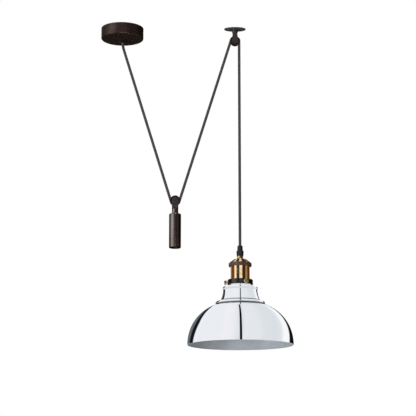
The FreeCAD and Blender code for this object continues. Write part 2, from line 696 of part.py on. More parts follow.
def pulley_yoke():
    """Turned boss that narrows to a waist and spreads into two cheeks round the wheel."""
    root = PULLEY_Z + YOKE_DROP
    boss_low = -PLATE_T - BOSS_H
    waist = (WAIST_R + (BOSS_R - WAIST_R) * 0.2, boss_low + (root - boss_low) * 0.6)
    stem = lathe([(0, -PLATE_T), (BOSS_R, -PLATE_T), (BOSS_R, boss_low),
                  (waist[0], waist[1], "via", WAIST_R, root), (0, root)], PULLEY_X)
    yoke = stem.fuse(bridge(PULLEY_X, WAIST_R, root, root + ROOT_T))
    for plate in cheeks(PULLEY_X, PULLEY_Z, root, WAIST_R):
        yoke = yoke.fuse(plate)
    return yoke.cut(disc(PLATE_SCREW_R, -PLATE_SCREW_LEN - OVER, 0, PULLEY_X)).removeSplitter()


# ---- counterweight --------------------------------------------------------------------------

YOKE_ROOT = WEIGHT_Z - YOKE_DROP
COLLAR_TOP = YOKE_ROOT - YOKE_STEM_LEN
SHELL_TOP = COLLAR_TOP - COLLAR_LEN
SHELL_LOW = SHELL_TOP - WEIGHT_SHELL_LEN
WEIGHT_LOW = SHELL_LOW - WEIGHT_CAP_LEN
STUD_END = SHELL_TOP - WEIGHT_TOP_T - STUD_GRIP
CORE_BODY_R = WEIGHT_R - WEIGHT_WALL - THREAD_GAP


def weight_yoke():
    """Yoke round the weight's wheel, with a round stem and a threaded stud below."""
    yoke = bridge(WEIGHT_X, YOKE_STEM_R, YOKE_ROOT - ROOT_T, YOKE_ROOT)
    yoke = yoke.fuse(disc(YOKE_STEM_R, COLLAR_TOP, YOKE_ROOT - ROOT_T, WEIGHT_X))
    for plate in cheeks(WEIGHT_X, WEIGHT_Z, YOKE_ROOT, YOKE_STEM_R):
        yoke = yoke.fuse(plate)
    return yoke.fuse(disc(STUD_R, STUD_END, COLLAR_TOP, WEIGHT_X)).removeSplitter()


def weight_collar():
    """Round lock nut between the yoke's stem and the weight."""
    bore = STUD_R + THREAD_GAP
    return lathe([(bore, SHELL_TOP), (YOKE_STEM_R, SHELL_TOP),
                  (YOKE_STEM_R, COLLAR_TOP - SEAM), (YOKE_STEM_R - SEAM, COLLAR_TOP),
                  (bore, COLLAR_TOP)], WEIGHT_X)


def weight_shell():
    """Tube of the counterweight with a closed, rounded top."""
    soft = WEIGHT_EDGE * math.sin(math.pi / 4)
    inner = WEIGHT_R - WEIGHT_WALL
    bore = STUD_R + THREAD_GAP
    return lathe([(bore, SHELL_TOP), (WEIGHT_R - WEIGHT_EDGE, SHELL_TOP),
                  (WEIGHT_R - WEIGHT_EDGE + soft, SHELL_TOP - WEIGHT_EDGE + soft, "via",
                   WEIGHT_R, SHELL_TOP - WEIGHT_EDGE),
                  (WEIGHT_R, SHELL_LOW + SEAM), (WEIGHT_R - SEAM, SHELL_LOW),
                  (inner, SHELL_LOW), (inner, SHELL_TOP - WEIGHT_TOP_T),
                  (bore, SHELL_TOP - WEIGHT_TOP_T)], WEIGHT_X)


def weight_core():
    """Dense ballast that fills the tube; the yoke's stud is screwed into it."""
    top = SHELL_TOP - WEIGHT_TOP_T
    low = WEIGHT_LOW + WEIGHT_FLOOR_T
    slug = disc(CORE_BODY_R, low, top, WEIGHT_X)
    slug = slug.cut(disc(WEIGHT_SCREW_R, low - OVER, WEIGHT_LOW + WEIGHT_SCREW_LEN + SEAT_GAP,
                         WEIGHT_X))
    return slug.cut(disc(STUD_R + THREAD_GAP, STUD_END - SEAT_GAP, top + OVER, WEIGHT_X))


def weight_bottom_cap():
    """Cup that closes the tube, with a chamfered foot and a countersunk screw hole."""
    inner = WEIGHT_R - WEIGHT_WALL
    floor = WEIGHT_LOW + WEIGHT_FLOOR_T
    cup = lathe([(0, WEIGHT_LOW), (WEIGHT_R - WEIGHT_FOOT, WEIGHT_LOW),
                 (WEIGHT_R, WEIGHT_LOW + WEIGHT_FOOT), (WEIGHT_R, SHELL_LOW - SEAM),
                 (WEIGHT_R - SEAM, SHELL_LOW), (inner, SHELL_LOW), (inner, floor), (0, floor)],
                WEIGHT_X)
    cup = cup.cut(disc(WEIGHT_SCREW_R + THREAD_GAP, WEIGHT_LOW - OVER, floor + OVER, WEIGHT_X))
    return cup.cut(weight_screw_head(THREAD_GAP))


def weight_screw_head(play):
    """Countersunk head, flush with the cup's foot."""
    depth = WEIGHT_SCREW_HEAD_R - WEIGHT_SCREW_R
    return cone(WEIGHT_SCREW_HEAD_R + play, WEIGHT_SCREW_R + play,
                WEIGHT_LOW, WEIGHT_LOW + depth, WEIGHT_X)


def weight_bottom_screw():
    """Slotted screw that holds the cup to the ballast."""
    shank = disc(WEIGHT_SCREW_R - THREAD_GAP, WEIGHT_LOW, WEIGHT_LOW + WEIGHT_SCREW_LEN, WEIGHT_X)
    slot = block(WEIGHT_X - WEIGHT_SCREW_HEAD_R, WEIGHT_X + WEIGHT_SCREW_HEAD_R,
                 -SLOT_W / 2, SLOT_W / 2, WEIGHT_LOW - OVER, WEIGHT_LOW + SLOT_DEEP)
    return shank.fuse(weight_screw_head(-THREAD_GAP)).cut(slot).removeSplitter()


# ---- cord grip on the lampholder ------------------------------------------------------------

def lamp_grip_body():
    """Lower half of the grip: a flared body with a threaded spigot into the holder's cap."""
    band = LAMP_GRIP_TOP - LAMP_GRIP_BAND
    floor = CAP_TOP + LAMP_GRIP_FLOOR
    pocket = COLLET_R + THREAD_GAP
    foot = CAP_TOP - LAMP_GRIP_THREAD_LEN
    return lathe([(CORD_BORE, foot), (SPIGOT_R, foot), (SPIGOT_R, CAP_TOP),
                  (LAMP_GRIP_FOOT_R, CAP_TOP), (LAMP_GRIP_R, band),
                  (LAMP_GRIP_R, LAMP_GRIP_TOP - LAMP_GRIP_CAP_EDGE),
                  (LAMP_GRIP_R - LAMP_GRIP_CAP_EDGE, LAMP_GRIP_TOP),
                  (pocket, LAMP_GRIP_TOP), (pocket, floor), (CORD_BORE, floor)], LAMP_X)


def lamp_grip_collet():
    """Rubber sleeve that the two halves squeeze on to the cord."""
    return tube(COLLET_R, CORD_BORE, CAP_TOP + LAMP_GRIP_FLOOR, LAMP_GRIP_TOP + COLLET_PROUD,
                LAMP_X)


def lamp_grip_cap():
    """Upper half of the grip, screwed down over the sleeve."""
    pocket = COLLET_R + THREAD_GAP
    roof = LAMP_GRIP_TOP + COLLET_PROUD
    return lathe([(pocket, LAMP_GRIP_TOP), (LAMP_GRIP_CAP_R, LAMP_GRIP_TOP),
                  (LAMP_GRIP_CAP_TOP_R, LAMP_TOP - LAMP_GRIP_CAP_EDGE),
                  (LAMP_GRIP_CAP_TOP_R - LAMP_GRIP_CAP_EDGE, LAMP_TOP), (CORD_BORE, LAMP_TOP),
                  (CORD_BORE, roof), (pocket, roof)], LAMP_X)


# ---- lampholder -----------------------------------------------------------------------------

def holder_cap():
    """Spun brass cap: a brim on the flange ring, a cone, and a neck for the cord grip."""
    skirt = SHELL_R
    skirt_low = FLANGE_Z + SHELL_TUCK
    brim = FLANGE_R - CAP_BRIM
    cone_low = CAP_Z + CAP_BRIM_T
    foot = CAP_CONE_TOP + CAP_NECK_FOOT_H
    bore = SPIGOT_R + THREAD_GAP
    sweep = (CAP_NECK_FOOT_R + (CAP_TOP_R - CAP_NECK_FOOT_R) * 0.35,
             CAP_CONE_TOP + CAP_NECK_FOOT_H * 0.3)
    under = (sweep[0] - CAP_WALL / 2, sweep[1] - CAP_WALL)
    return lathe([(skirt - SHELL_WALL, skirt_low), (skirt, skirt_low), (skirt, CAP_Z),
                  (brim, CAP_Z), (brim, cone_low), (CAP_TOP_R, CAP_CONE_TOP),
                  (sweep[0], sweep[1], "via", CAP_NECK_FOOT_R, foot),
                  (CAP_NECK_R, CAP_TOP), (bore, CAP_TOP), (bore, foot - CAP_WALL),
                  (under[0], under[1], "via", CAP_TOP_R - CAP_WALL / 2, CAP_CONE_TOP - CAP_WALL),
                  (skirt - SHELL_WALL, cone_low)], LAMP_X)


def holder_flange_ring():
    """Knurled ring that joins the cap to the shell."""
    ring = lathe([(SHELL_R + THREAD_GAP, FLANGE_Z), (FLANGE_R - FLANGE_EDGE, FLANGE_Z),
                  (FLANGE_R, FLANGE_Z + FLANGE_EDGE), (FLANGE_R, CAP_Z - FLANGE_EDGE),
                  (FLANGE_R - FLANGE_EDGE, CAP_Z), (SHELL_R + THREAD_GAP, CAP_Z)], LAMP_X)
    away = FLANGE_R + KNURL_R - KNURL_BITE
    grooves = []
    for i in range(KNURL_COUNT):
        angle = 2 * math.pi * i / KNURL_COUNT
        grooves.append(disc(KNURL_R, FLANGE_Z - OVER, CAP_Z + OVER,
                            LAMP_X + away * math.cos(angle), away * math.sin(angle)))
    return ring.cut(Part.makeCompound(grooves))


def holder_shell():
    """Polished brass shell, turned in under the holder and drawn on as a threaded sleeve."""
    floor = SHELL_Z + SLEEVE_WALL
    inner = SHELL_R - SHELL_WALL
    soft = SHELL_EDGE * math.sin(math.pi / 4)
    return lathe([(SLEEVE_R - SLEEVE_WALL, SLEEVE_Z), (SLEEVE_R, SLEEVE_Z),
                  (SLEEVE_R, SHELL_Z), (SHELL_R - SHELL_EDGE, SHELL_Z),
                  (SHELL_R - SHELL_EDGE + soft, SHELL_Z + SHELL_EDGE - soft, "via",
                   SHELL_R, SHELL_Z + SHELL_EDGE),
                  (SHELL_R, FLANGE_Z + SHELL_TUCK), (inner, FLANGE_Z + SHELL_TUCK),
                  (inner, floor), (SLEEVE_R - SLEEVE_WALL, floor)], LAMP_X)


def terminal_places():
    """The lampholder's three terminals: live, neutral and earth."""
    return [(LAMP_X + TERMINAL_RING * math.cos(math.radians(a)),
             TERMINAL_RING * math.sin(math.radians(a)), a) for a in (0, 180, 90)]


def holder_insert():
    """Moulded insert: it rests on the shell's floor and carries the socket and terminals."""
    floor = SHELL_Z + SLEEVE_WALL
    low = SLEEVE_Z + INSERT_GAP
    narrow = SLEEVE_R - SLEEVE_WALL - INSERT_GAP
    wide = SHELL_R - SHELL_WALL - INSERT_GAP
    bore = SOCKET_R + SOCKET_WALL + THREAD_GAP
    end = SOCKET_END_R + SOCKET_WALL + THREAD_GAP
    neck = low + SOCKET_INSET + SOCKET_LEN + SOCKET_WALL
    roof = INSERT_TOP - INSERT_FLOOR_T
    insert = lathe([(bore, low), (narrow, low), (narrow, floor), (wide, floor),
                    (wide, INSERT_TOP), (0, INSERT_TOP), (0, roof), (end, roof),
                    (end, neck), (bore, neck)], LAMP_X)
    return insert.cut(disc(CONTACT_POST_R + THREAD_GAP, roof - OVER,
                           roof + CONTACT_POST_IN, LAMP_X))


def socket_screw_shell():
    """Brass screw shell of the socket: open downwards, drawn in above the lamp cap."""
    low = SLEEVE_Z + INSERT_GAP + SOCKET_INSET
    roof = INSERT_TOP - INSERT_FLOOR_T
    neck = low + SOCKET_LEN
    outer = SOCKET_R + SOCKET_WALL
    end = SOCKET_END_R + SOCKET_WALL
    return lathe([(SOCKET_R, low), (outer, low), (outer, neck + SOCKET_WALL),
                  (end, neck + SOCKET_WALL), (end, roof), (SOCKET_HOLE_R, roof),
                  (SOCKET_HOLE_R, roof - SOCKET_WALL), (SOCKET_END_R, roof - SOCKET_WALL),
                  (SOCKET_END_R, neck), (SOCKET_R, neck)], LAMP_X)


def centre_contact():
    """Brass contact button on a post set in the insert."""
    roof = INSERT_TOP - INSERT_FLOOR_T
    low = roof - CONTACT_DROP
    button = disc(CONTACT_R, low, low + CONTACT_T, LAMP_X)
    post = disc(CONTACT_POST_R, low + CONTACT_T, roof + CONTACT_POST_IN, LAMP_X)
    return button.fuse(post).removeSplitter()


def holder_terminals():
    """Three brass terminal blocks on the insert, each bored for a core and a screw."""
    blocks = []
    half = TERMINAL_L / 2
    height = INSERT_TOP + TERMINAL_H / 2
    for x, y, angle in terminal_places():
        body = block(x - half, x + half, y - half, y + half, INSERT_TOP,
                     INSERT_TOP + TERMINAL_H)
        body = body.cut(disc(TERMINAL_SCREW_R + THREAD_GAP, height, INSERT_TOP + TERMINAL_H
                             + OVER, x, y))
        bore = Part.makeCylinder(TERMINAL_BORE, TERMINAL_L + 2 * OVER,
                                 vec(x - half - OVER, y, height), vec(1, 0, 0))
        bore.rotate(vec(x, y, height), vec(0, 0, 1), angle)
        blocks.append(body.cut(bore))
    return blocks


def holder_terminal_screws():
    """Slotted screws that clamp the cores in the terminals."""
    screws = []
    top = INSERT_TOP + TERMINAL_H
    for x, y, angle in terminal_places():
        screw = disc(TERMINAL_SCREW_R, INSERT_TOP + TERMINAL_H / 2 + CORE_R, top, x, y)
        screw = screw.fuse(disc(TERMINAL_HEAD_R, top, top + TERMINAL_HEAD_T, x, y))
        slot = block(x - TERMINAL_HEAD_R, x + TERMINAL_HEAD_R, y - SLOT_W / 2, y + SLOT_W / 2,
                     top + TERMINAL_HEAD_T - SLOT_DEEP, top + TERMINAL_HEAD_T + OVER)
        screws.append(screw.cut(slot))
    return screws


def lamp_cores():
    """The three cores, from the end of the sheath to the holder's terminals."""
    cores = []
    height = INSERT_TOP + TERMINAL_H / 2
    for x, y, angle in terminal_places():
        ex, ey = math.cos(math.radians(angle)), math.sin(math.radians(angle))
        start = vec(LAMP_X + CORE_RING * ex, CORE_RING * ey, SHEATH_END)
        corner = vec(start.x, start.y, height)
        cores.append(core([start, corner, vec(x - TERMINAL_SCREW_R * ex,
                                              y - TERMINAL_SCREW_R * ey, height)],
                          [CORE_D * 1.5]))
    return cores


# ---- shade carrier --------------------------------------------------------------------------

def thumb_angles():
    return [THUMB_FIRST + 360 * i / THUMB_COUNT for i in range(THUMB_COUNT)]


def around_lamp(shape, angle):
    """Swing a shape made on the +X side of the lamp round the lamp's axis."""
    shape.rotate(vec(LAMP_X, 0, 0), vec(0, 0, 1), angle)
    return shape


def fitter_ring():
    """Black ring cup under the holder, with three threaded holes for the thumb screws."""
    top = SHELL_Z
    inner = RING_R - RING_WALL
    ring = lathe([(inner, RING_Z), (RING_R, RING_Z), (RING_R, top - RING_EDGE),
                  (RING_R - RING_EDGE, top), (SLEEVE_R + THREAD_GAP, top),
                  (SLEEVE_R + THREAD_GAP, top - RING_TOP_T), (inner, top - RING_TOP_T)], LAMP_X)
    for angle in thumb_angles():
        hole = bar_x(THUMB_R + THREAD_GAP, LAMP_X + COLLAR_R, LAMP_X + RING_R + OVER, 0, THUMB_Z)
        ring = ring.cut(around_lamp(hole, angle))
    return ring


def fitter_screw(angle, slot_turn):
    """Brass thumb screw: its point presses on the shade's collar under the lip."""
    tip = LAMP_X + COLLAR_R + THREAD_GAP
    seat = LAMP_X + RING_R + THUMB_SHANK
    outer = seat + THUMB_HEAD_T
    head = bar_x(THUMB_HEAD_R, seat, outer, 0, THUMB_Z)
    head = head.makeChamfer(THUMB_HEAD_T / 6, [e for e in head.Edges
                                               if e.BoundBox.XLength < THUMB_SLOT_W])
    screw = head.fuse(bar_x(THUMB_R, tip, seat + OVER, 0, THUMB_Z))
    slot = block(outer - THUMB_SLOT_DEEP, outer + OVER, -THUMB_HEAD_R, THUMB_HEAD_R,
                 THUMB_Z - THUMB_SLOT_W / 2, THUMB_Z + THUMB_SLOT_W / 2)
    slot.rotate(vec(outer, 0, THUMB_Z), vec(1, 0, 0), slot_turn)
    return around_lamp(screw.cut(slot).removeSplitter(), angle)


def fitter_clamp_ring():
    """Ring nut on the holder's sleeve that clamps the carrier from below."""
    top = SHELL_Z - RING_TOP_T
    return tube(CLAMP_R, SLEEVE_R + THREAD_GAP, top - CLAMP_H, top, LAMP_X)


# ---- shade ----------------------------------------------------------------------------------

def shade_body(skin, foot, top):
    """The shade as a solid turned body, its surface moved inwards by skin."""
    def at(radius, height):
        return vec(LAMP_X + radius, 0, height)

    slope = skin * math.sin(math.pi / 4)
    rim_r = SHADE_R - skin
    fall_sin = math.sin(math.radians(CROWN_FALL))
    fall_cos = math.cos(math.radians(CROWN_FALL))
    ledge_r = LEDGE_R - skin * CREASE_SHIFT
    ledge_z = LEDGE_Z + skin * (CREASE_SHIFT * fall_sin - 1) / fall_cos
    dome = Part.BezierCurve()
    dome.setPoles([at(rim_r, RIM_Z), at(rim_r, RIM_Z + DOME_SIDE),
                   at(LEDGE_R + DOME_CROWN * fall_cos - skin * fall_sin,
                      LEDGE_Z - DOME_CROWN * fall_sin - skin * fall_cos),
                   at(ledge_r, ledge_z)])
    dome_arc = dome.toShape()
    bead_mid = (LEDGE_R + BEAD_OUT - skin, LEDGE_Z + BEAD_H * 0.45)
    bead_top = LEDGE_R - BEAD_OUT
    flare_mid = (NECK_R + (STEP_R - NECK_R) * 0.27, FLARE_Z + FLARE_H * 0.52)
    rest = [(ledge_r, ledge_z),
            (bead_mid[0], bead_mid[1], "via", bead_top - slope, STEP_Z - slope),
            (STEP_R - slope, FLARE_Z - slope),
            (flare_mid[0] - slope, flare_mid[1] - slope, "via", NECK_R - skin, NECK_Z),
            (NECK_R - skin, NECK_TOP),
            (NECK_R + CORNER_OUT - skin, NECK_TOP + CORNER_H / 2, "via",
             NECK_R - slope, CORNER_TOP - slope),
            (COLLAR_R + SEAT_GAP, SHOULDER_TOP - skin),
            (COLLAR_R - skin, SHOULDER_TOP),
            (COLLAR_R - skin, top), (0, top), (0, foot), (rim_r, foot)]
    if foot < RIM_Z:
        rest.append((rim_r, RIM_Z))
    return turned([dome_arc] + outline(rest, at), LAMP_X)


def shade():
    """Spun shade: dome, rolled bead, flared neck, shoulder and a lipped collar on top."""
    top = LIP_Z + LIP_T
    skin = shade_body(0, RIM_Z, top)
    hollow = shade_body(SHADE_WALL, RIM_Z - OVER, top + OVER)
    hem = tube(SHADE_R - SHADE_WALL / 2, SHADE_R - SHADE_WALL - HEM_T, RIM_Z, RIM_Z + HEM_H,
               LAMP_X)
    lip = tube(LIP_R, COLLAR_R - SHADE_WALL, LIP_Z, top, LAMP_X)
    return skin.cut(hollow).fuse(hem.common(skin)).fuse(lip).removeSplitter()


# ---- build ----------------------------------------------------------------------------------

def report_cord():
    """Print the cord's bends, its visible length, and each tube's volume against its length."""
    section = math.pi * CORD_R ** 2
    wrap = math.pi - 2 * SLANT
    over = math.pi - SLANT
    rise = (RISE_FOOT - RISE_TOP).Length
    middle = (MIDDLE_TOP - MIDDLE_FOOT).Length
    drop = (LAMP_STRAND_TOP - LAMP_STRAND_FOOT).Length
    entry = GRIP_END - BEND_START.z + CANOPY_BEND_R * SLANT
    visible = entry + rise + PITCH_R * wrap + middle + PITCH_R * over + drop
    print("cord bends: canopy %.1f, wheels %.1f; slant %.2f degrees"
          % (CANOPY_BEND_R, PITCH_R, math.degrees(SLANT)))
    print("cord runs: rise %.1f, middle %.1f, lamp %.1f; visible length %.1f"
          % (rise, middle, drop, visible))
    print("section x length: %.1f %.1f %.1f, wraps %.1f %.1f"
          % (section * rise, section * middle, section * drop,
             section * PITCH_R * wrap, section * PITCH_R * over))
    print("weight axis x %.2f, lamp axis x %.2f" % (WEIGHT_X, LAMP_X))


def build_canopy():
    save("canopy_cup", canopy_cup())
    save("canopy_bracket", canopy_bracket())
    save("canopy_side_screws", *canopy_side_screws())
    save("canopy_cord_grip", canopy_cord_grip())
    save("canopy_grip_screw", canopy_grip_screw())
    save("canopy_grip_washer", canopy_grip_washer())
    save("canopy_grip_nut", canopy_grip_nut())
    save("terminal_block", terminal_block())
    save("terminal_clamps", *terminal_clamps())
    save("terminal_screws", *terminal_screws())
    save("terminal_block_screw", terminal_block_screw())
    save("earth_screw", earth_screw())
    for name, solid in zip(("live", "neutral", "earth"), canopy_cores()):
        save("canopy_core_" + name, solid)


def build_pulleys():
    save("pulley_plate", pulley_plate())
    save("pulley_plate_screw", pulley_plate_screw())
    save("pulley_yoke", pulley_yoke())
    for name, x, z in (("ceiling", PULLEY_X, PULLEY_Z), ("weight", WEIGHT_X, WEIGHT_Z)):
        save(name + "_wheel", wheel(x, z))
        save(name + "_wheel_bush", wheel_bush(x, z))
        save(name + "_axle", axle(x, z))
        save(name + "_axle_clip", axle_clip(x, z))


def build_counterweight():
    save("weight_yoke", weight_yoke())
    save("weight_collar", weight_collar())
    save("weight_shell", weight_shell())
    save("weight_core", weight_core())
    save("weight_bottom_cap", weight_bottom_cap())
    save("weight_bottom_screw", weight_bottom_screw())


def build_lamp():
    save("lamp_grip_body", lamp_grip_body())
    save("lamp_grip_collet", lamp_grip_collet())
    save("lamp_grip_cap", lamp_grip_cap())
    save("holder_cap", holder_cap())
    save("holder_flange_ring", holder_flange_ring())
    save("holder_shell", holder_shell())
    save("holder_insert", holder_insert())
    save("socket_screw_shell", socket_screw_shell())
    save("centre_contact", centre_contact())
    save("holder_terminals", *holder_terminals())
    save("holder_terminal_screws", *holder_terminal_screws())
    for name, solid in zip(("live", "neutral", "earth"), lamp_cores()):
        save("lamp_core_" + name, solid)
    save("fitter_ring", fitter_ring())
    save("fitter_clamp_ring", fitter_clamp_ring())
    places = ("right", "back", "left")
    for place, angle, turn in zip(places, thumb_angles(), (-40, 15, 60)):
        save("fitter_screw_" + place, fitter_screw(angle, turn))
    save("shade", shade())


def build_cord():
    """The cord in stretches that meet face to face, from the canopy to the lampholder."""
    down = vec(0, 0, -1)
    entry = straight_cord(vec(0, 0, TAIL_TOP), BEND_START)
    bend = bent_cord(BEND_START, down, BEND_START + vec(CANOPY_BEND_R, 0, 0), BACKWARD,
                     math.degrees(SLANT))
    save("cord_canopy_entry", entry.fuse(bend))
    save("cord_rise_strand", straight_cord(RISE_TOP, RISE_FOOT))
    save("cord_weight_wrap", bent_cord(RISE_FOOT, RISE_FOOT - RISE_TOP,
                                       vec(WEIGHT_X, 0, WEIGHT_Z), BACKWARD,
                                       180 - 2 * math.degrees(SLANT)))
    save("cord_middle_strand", straight_cord(MIDDLE_TOP, MIDDLE_FOOT))
    save("cord_ceiling_wrap", bent_cord(MIDDLE_TOP, MIDDLE_TOP - MIDDLE_FOOT,
                                        vec(PULLEY_X, 0, PULLEY_Z), FORWARD,
                                        180 - math.degrees(SLANT)))
    save("cord_lamp_strand", straight_cord(LAMP_STRAND_TOP, LAMP_STRAND_FOOT))
    save("cord_lamp_tail", straight_cord(LAMP_STRAND_FOOT, vec(LAMP_X, 0, SHEATH_END)))
    report_cord()


def main():
    os.makedirs("parts", exist_ok=True)
    build_canopy()
    build_pulleys()
    build_counterweight()
    build_lamp()
    build_cord()


main()
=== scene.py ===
"""Looks of a rise and fall pendant: a mirror dome shade on a brass lampholder, hung from a
textile cord that runs over a ceiling pulley and under a counterweight's pulley to a canopy."""

import functools
import logging
import math
from dataclasses import dataclass, field
from enum import Enum

import bmesh
import bpy
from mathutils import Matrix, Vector


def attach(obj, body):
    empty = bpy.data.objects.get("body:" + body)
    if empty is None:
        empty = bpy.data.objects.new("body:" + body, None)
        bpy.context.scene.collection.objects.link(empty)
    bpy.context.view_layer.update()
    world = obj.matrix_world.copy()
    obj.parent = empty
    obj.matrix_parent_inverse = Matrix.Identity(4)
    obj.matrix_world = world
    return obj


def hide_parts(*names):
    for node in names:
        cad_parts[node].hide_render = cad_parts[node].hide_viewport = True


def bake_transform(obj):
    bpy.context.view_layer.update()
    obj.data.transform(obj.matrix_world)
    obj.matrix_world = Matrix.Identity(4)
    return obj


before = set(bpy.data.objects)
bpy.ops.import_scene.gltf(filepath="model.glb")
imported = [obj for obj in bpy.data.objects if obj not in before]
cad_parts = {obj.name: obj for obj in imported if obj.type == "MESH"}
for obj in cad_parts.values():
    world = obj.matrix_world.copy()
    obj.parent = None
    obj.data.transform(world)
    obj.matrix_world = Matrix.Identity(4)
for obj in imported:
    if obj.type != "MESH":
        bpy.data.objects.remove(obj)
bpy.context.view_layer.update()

LOG = logging.getLogger("pendant")
MM = 0.001
METRE = 1000.0              # in millimetres
FULL_TURN = 2 * math.pi
LAMP_X = 299.5              # the lamp's upright axis, millimetres from the canopy's centre
WEIGHT_X = 137.454          # the counterweight's upright axis
PULLEY_X = 289.0            # the ceiling wheel's axle

Socket = bpy.types.NodeSocket
Tree = bpy.types.NodeTree
Material = bpy.types.Material
Point = tuple[float, float]
Place = tuple[float, float, float]
Stops = tuple[tuple[float, str], ...]


# ---- node trees -----------------------------------------

def linear(hex_colour: str) -> tuple[float, float, float, float]:
    """Turn an sRGB hex colour into the linear values that shaders take.

    Args:
        hex_colour: six hex digits with a leading hash.

    Returns:
        Linear red, green, blue and an alpha of 1.
    """
    parts = [int(hex_colour[i:i + 2], 16) / 255 for i in (1, 3, 5)]
    red, green, blue = (p / 12.92 if p <= 0.04045 else ((p + 0.055) / 1.055) ** 2.4 for p in parts)
    return (red, green, blue, 1.0)


def add(tree: Tree, kind: str, inputs: dict | None = None, stops: Stops = (),
        **settings: object) -> bpy.types.Node:
    """Add a node with its settings, and link or fill its inputs.

    Args:
        tree: the node tree that gets the node.
        kind: the node's type without its ShaderNode prefix.
        inputs: socket name or number, and the value or the socket that feeds it.
        stops: places from 0 to 1 and their sRGB colours, on a colour ramp.
        settings: properties of the node itself.

    Returns:
        The new node.
    """
    made = tree.nodes.new("ShaderNode" + kind)
    for name, value in settings.items():
        setattr(made, name, value)
    for key, value in (inputs or {}).items():
        if isinstance(value, Socket):
            tree.links.new(value, made.inputs[key])
        else:
            made.inputs[key].default_value = value
    if stops:
        ramp = made.color_ramp.elements
        for place, _ in stops[len(ramp):]:
            ramp.new(place)
        for stop, (place, colour) in zip(ramp, stops):
            stop.position = place
            stop.color = linear(colour)
    return made


class Grain(Enum):
    """How a surface was made, which sets the direction of its finest marks."""

    MOULDED = "even fine grain of a mould or a powder coat"
    TURNED = "fine rings round the upright axis, left by turning or spinning"
    DRAWN = "fine upright streaks, left by rolling or drawing"


PATCH_EDGES = (0.36, 0.64)      # levels of the noise between which the two tones blend
PAINTED_UNDERSIDE_EDGES = (-0.35, -0.7)     # rise of the normal between which the painted underside tone sets in
STREAK = (1.0, 1.0, 0.06)       # scale of drawn grain in x, y and z, which makes it upright


@dataclass(frozen=True)
class Finish:
    """A procedural surface: two tones in soft patches, a fine grain and uneven gloss, and where set a
    tone painted on downward faces in place of their lighting.
    """

    name: str
    light: str                  # sRGB of the lighter patches
    dark: str                   # sRGB of the darker patches
    metallic: float
    roughness: float
    spread: float = 0.06        # how much the roughness varies
    patch_mm: float = 14.0      # size of the patches
    grain_mm: float = 0.6       # spacing of the finest marks
    depth_mm: float = 0.01      # their depth
    grain: Grain = Grain.MOULDED
    axis_x: float = LAMP_X      # upright axis that turned marks go round
    wave_mm: float = 0.0        # spacing of slow waves in thin sheet metal, 0 for none
    wave_depth_mm: float = 0.0
    below: str = ""             # sRGB painted on faces that point down, in place of their light and shade; empty for no change

    def grain_height(self, tree: Tree, place: Socket) -> Socket:
        """Height of the finest marks.

        Args:
            tree: the material's node tree.
            place: object coordinates in metres.

        Returns:
            A socket from 0 to 1.
        """
        scale = METRE / self.grain_mm
        if self.grain is Grain.TURNED:
            away = add(tree, "VectorMath", {0: place, 1: (self.axis_x * MM, 0.0, 0.0)},
                       operation="SUBTRACT").outputs[0]
            flat = add(tree, "VectorMath", {0: away, 1: (1.0, 1.0, 0.0)},
                       operation="MULTIPLY").outputs[0]
            radius = add(tree, "VectorMath", {0: flat}, operation="LENGTH").outputs["Value"]
            height = add(tree, "SeparateXYZ", {0: away}).outputs[2]
            ring = add(tree, "Math", {0: radius, 1: height}, operation="ADD").outputs[0]
            return add(tree, "TexNoise", {"W": ring, "Scale": scale, "Detail": 2.0},
                       noise_dimensions="1D").outputs["Fac"]
        stretch = STREAK if self.grain is Grain.DRAWN else (1.0, 1.0, 1.0)
        spot = add(tree, "VectorMath", {0: place, 1: stretch}, operation="MULTIPLY").outputs[0]
        return add(tree, "TexNoise", {"Vector": spot, "Scale": scale, "Detail": 3.0}).outputs["Fac"]

    def tone(self, tree: Tree, place: Socket) -> tuple[Socket, Socket]:
        """Colour and patchiness of the surface, with the painted underside tone where one is set.

        Args:
            tree: the material's node tree.
            place: object coordinates in metres.

        Returns:
            The colour socket, and the patches as a socket from 0 to 1.
        """
        noise = add(tree, "TexNoise", {"Vector": place, "Scale": METRE / self.patch_mm,
                                       "Detail": 4.0, "Roughness": 0.6}).outputs["Fac"]
        patches = add(tree, "MapRange", {0: noise, 1: PATCH_EDGES[0], 2: PATCH_EDGES[1]}).outputs[0]
        colour = add(tree, "Mix", {0: patches, 6: linear(self.dark), 7: linear(self.light)},
                     data_type="RGBA").outputs[2]
        # painted light and shade: faces that point down take the below colour, whatever the lamps do
        if self.below:
            normal = add(tree, "NewGeometry").outputs["Normal"]
            facing = add(tree, "SeparateXYZ", {0: normal}).outputs[2]
            under = add(tree, "MapRange", {0: facing, 1: PAINTED_UNDERSIDE_EDGES[0],
                                           2: PAINTED_UNDERSIDE_EDGES[1]}).outputs[0]
            colour = add(tree, "Mix", {0: under, 6: colour, 7: linear(self.below)},
                         data_type="RGBA").outputs[2]
        return colour, patches

    @functools.cache
    def build(self) -> Material:
        """Make the material, once.

        Returns:
            The finished material.
        """
        material = bpy.data.materials.new(self.name)
        material.use_nodes = True
        tree = material.node_tree
        surface = tree.nodes["Principled BSDF"]
        place = add(tree, "TexCoord").outputs["Object"]
        colour, patches = self.tone(tree, place)
        tree.links.new(colour, surface.inputs["Base Color"])
        rough = add(tree, "MapRange", {0: patches, 3: self.roughness + self.spread,
                                       4: max(0.0, self.roughness - self.spread)}).outputs[0]
        tree.links.new(rough, surface.inputs["Roughness"])
        bump = add(tree, "Bump", {"Height": self.grain_height(tree, place),
                                  "Distance": self.depth_mm * MM})
        if self.wave_mm:
            wave = add(tree, "TexNoise", {"Vector": place, "Scale": METRE / self.wave_mm,
                                          "Detail": 0.0}).outputs["Fac"]
            slow = add(tree, "Bump", {"Height": wave, "Distance": self.wave_depth_mm * MM})
            tree.links.new(slow.outputs[0], bump.inputs["Normal"])
        tree.links.new(bump.outputs[0], surface.inputs["Normal"])
        surface.inputs["Metallic"].default_value = self.metallic
        return material


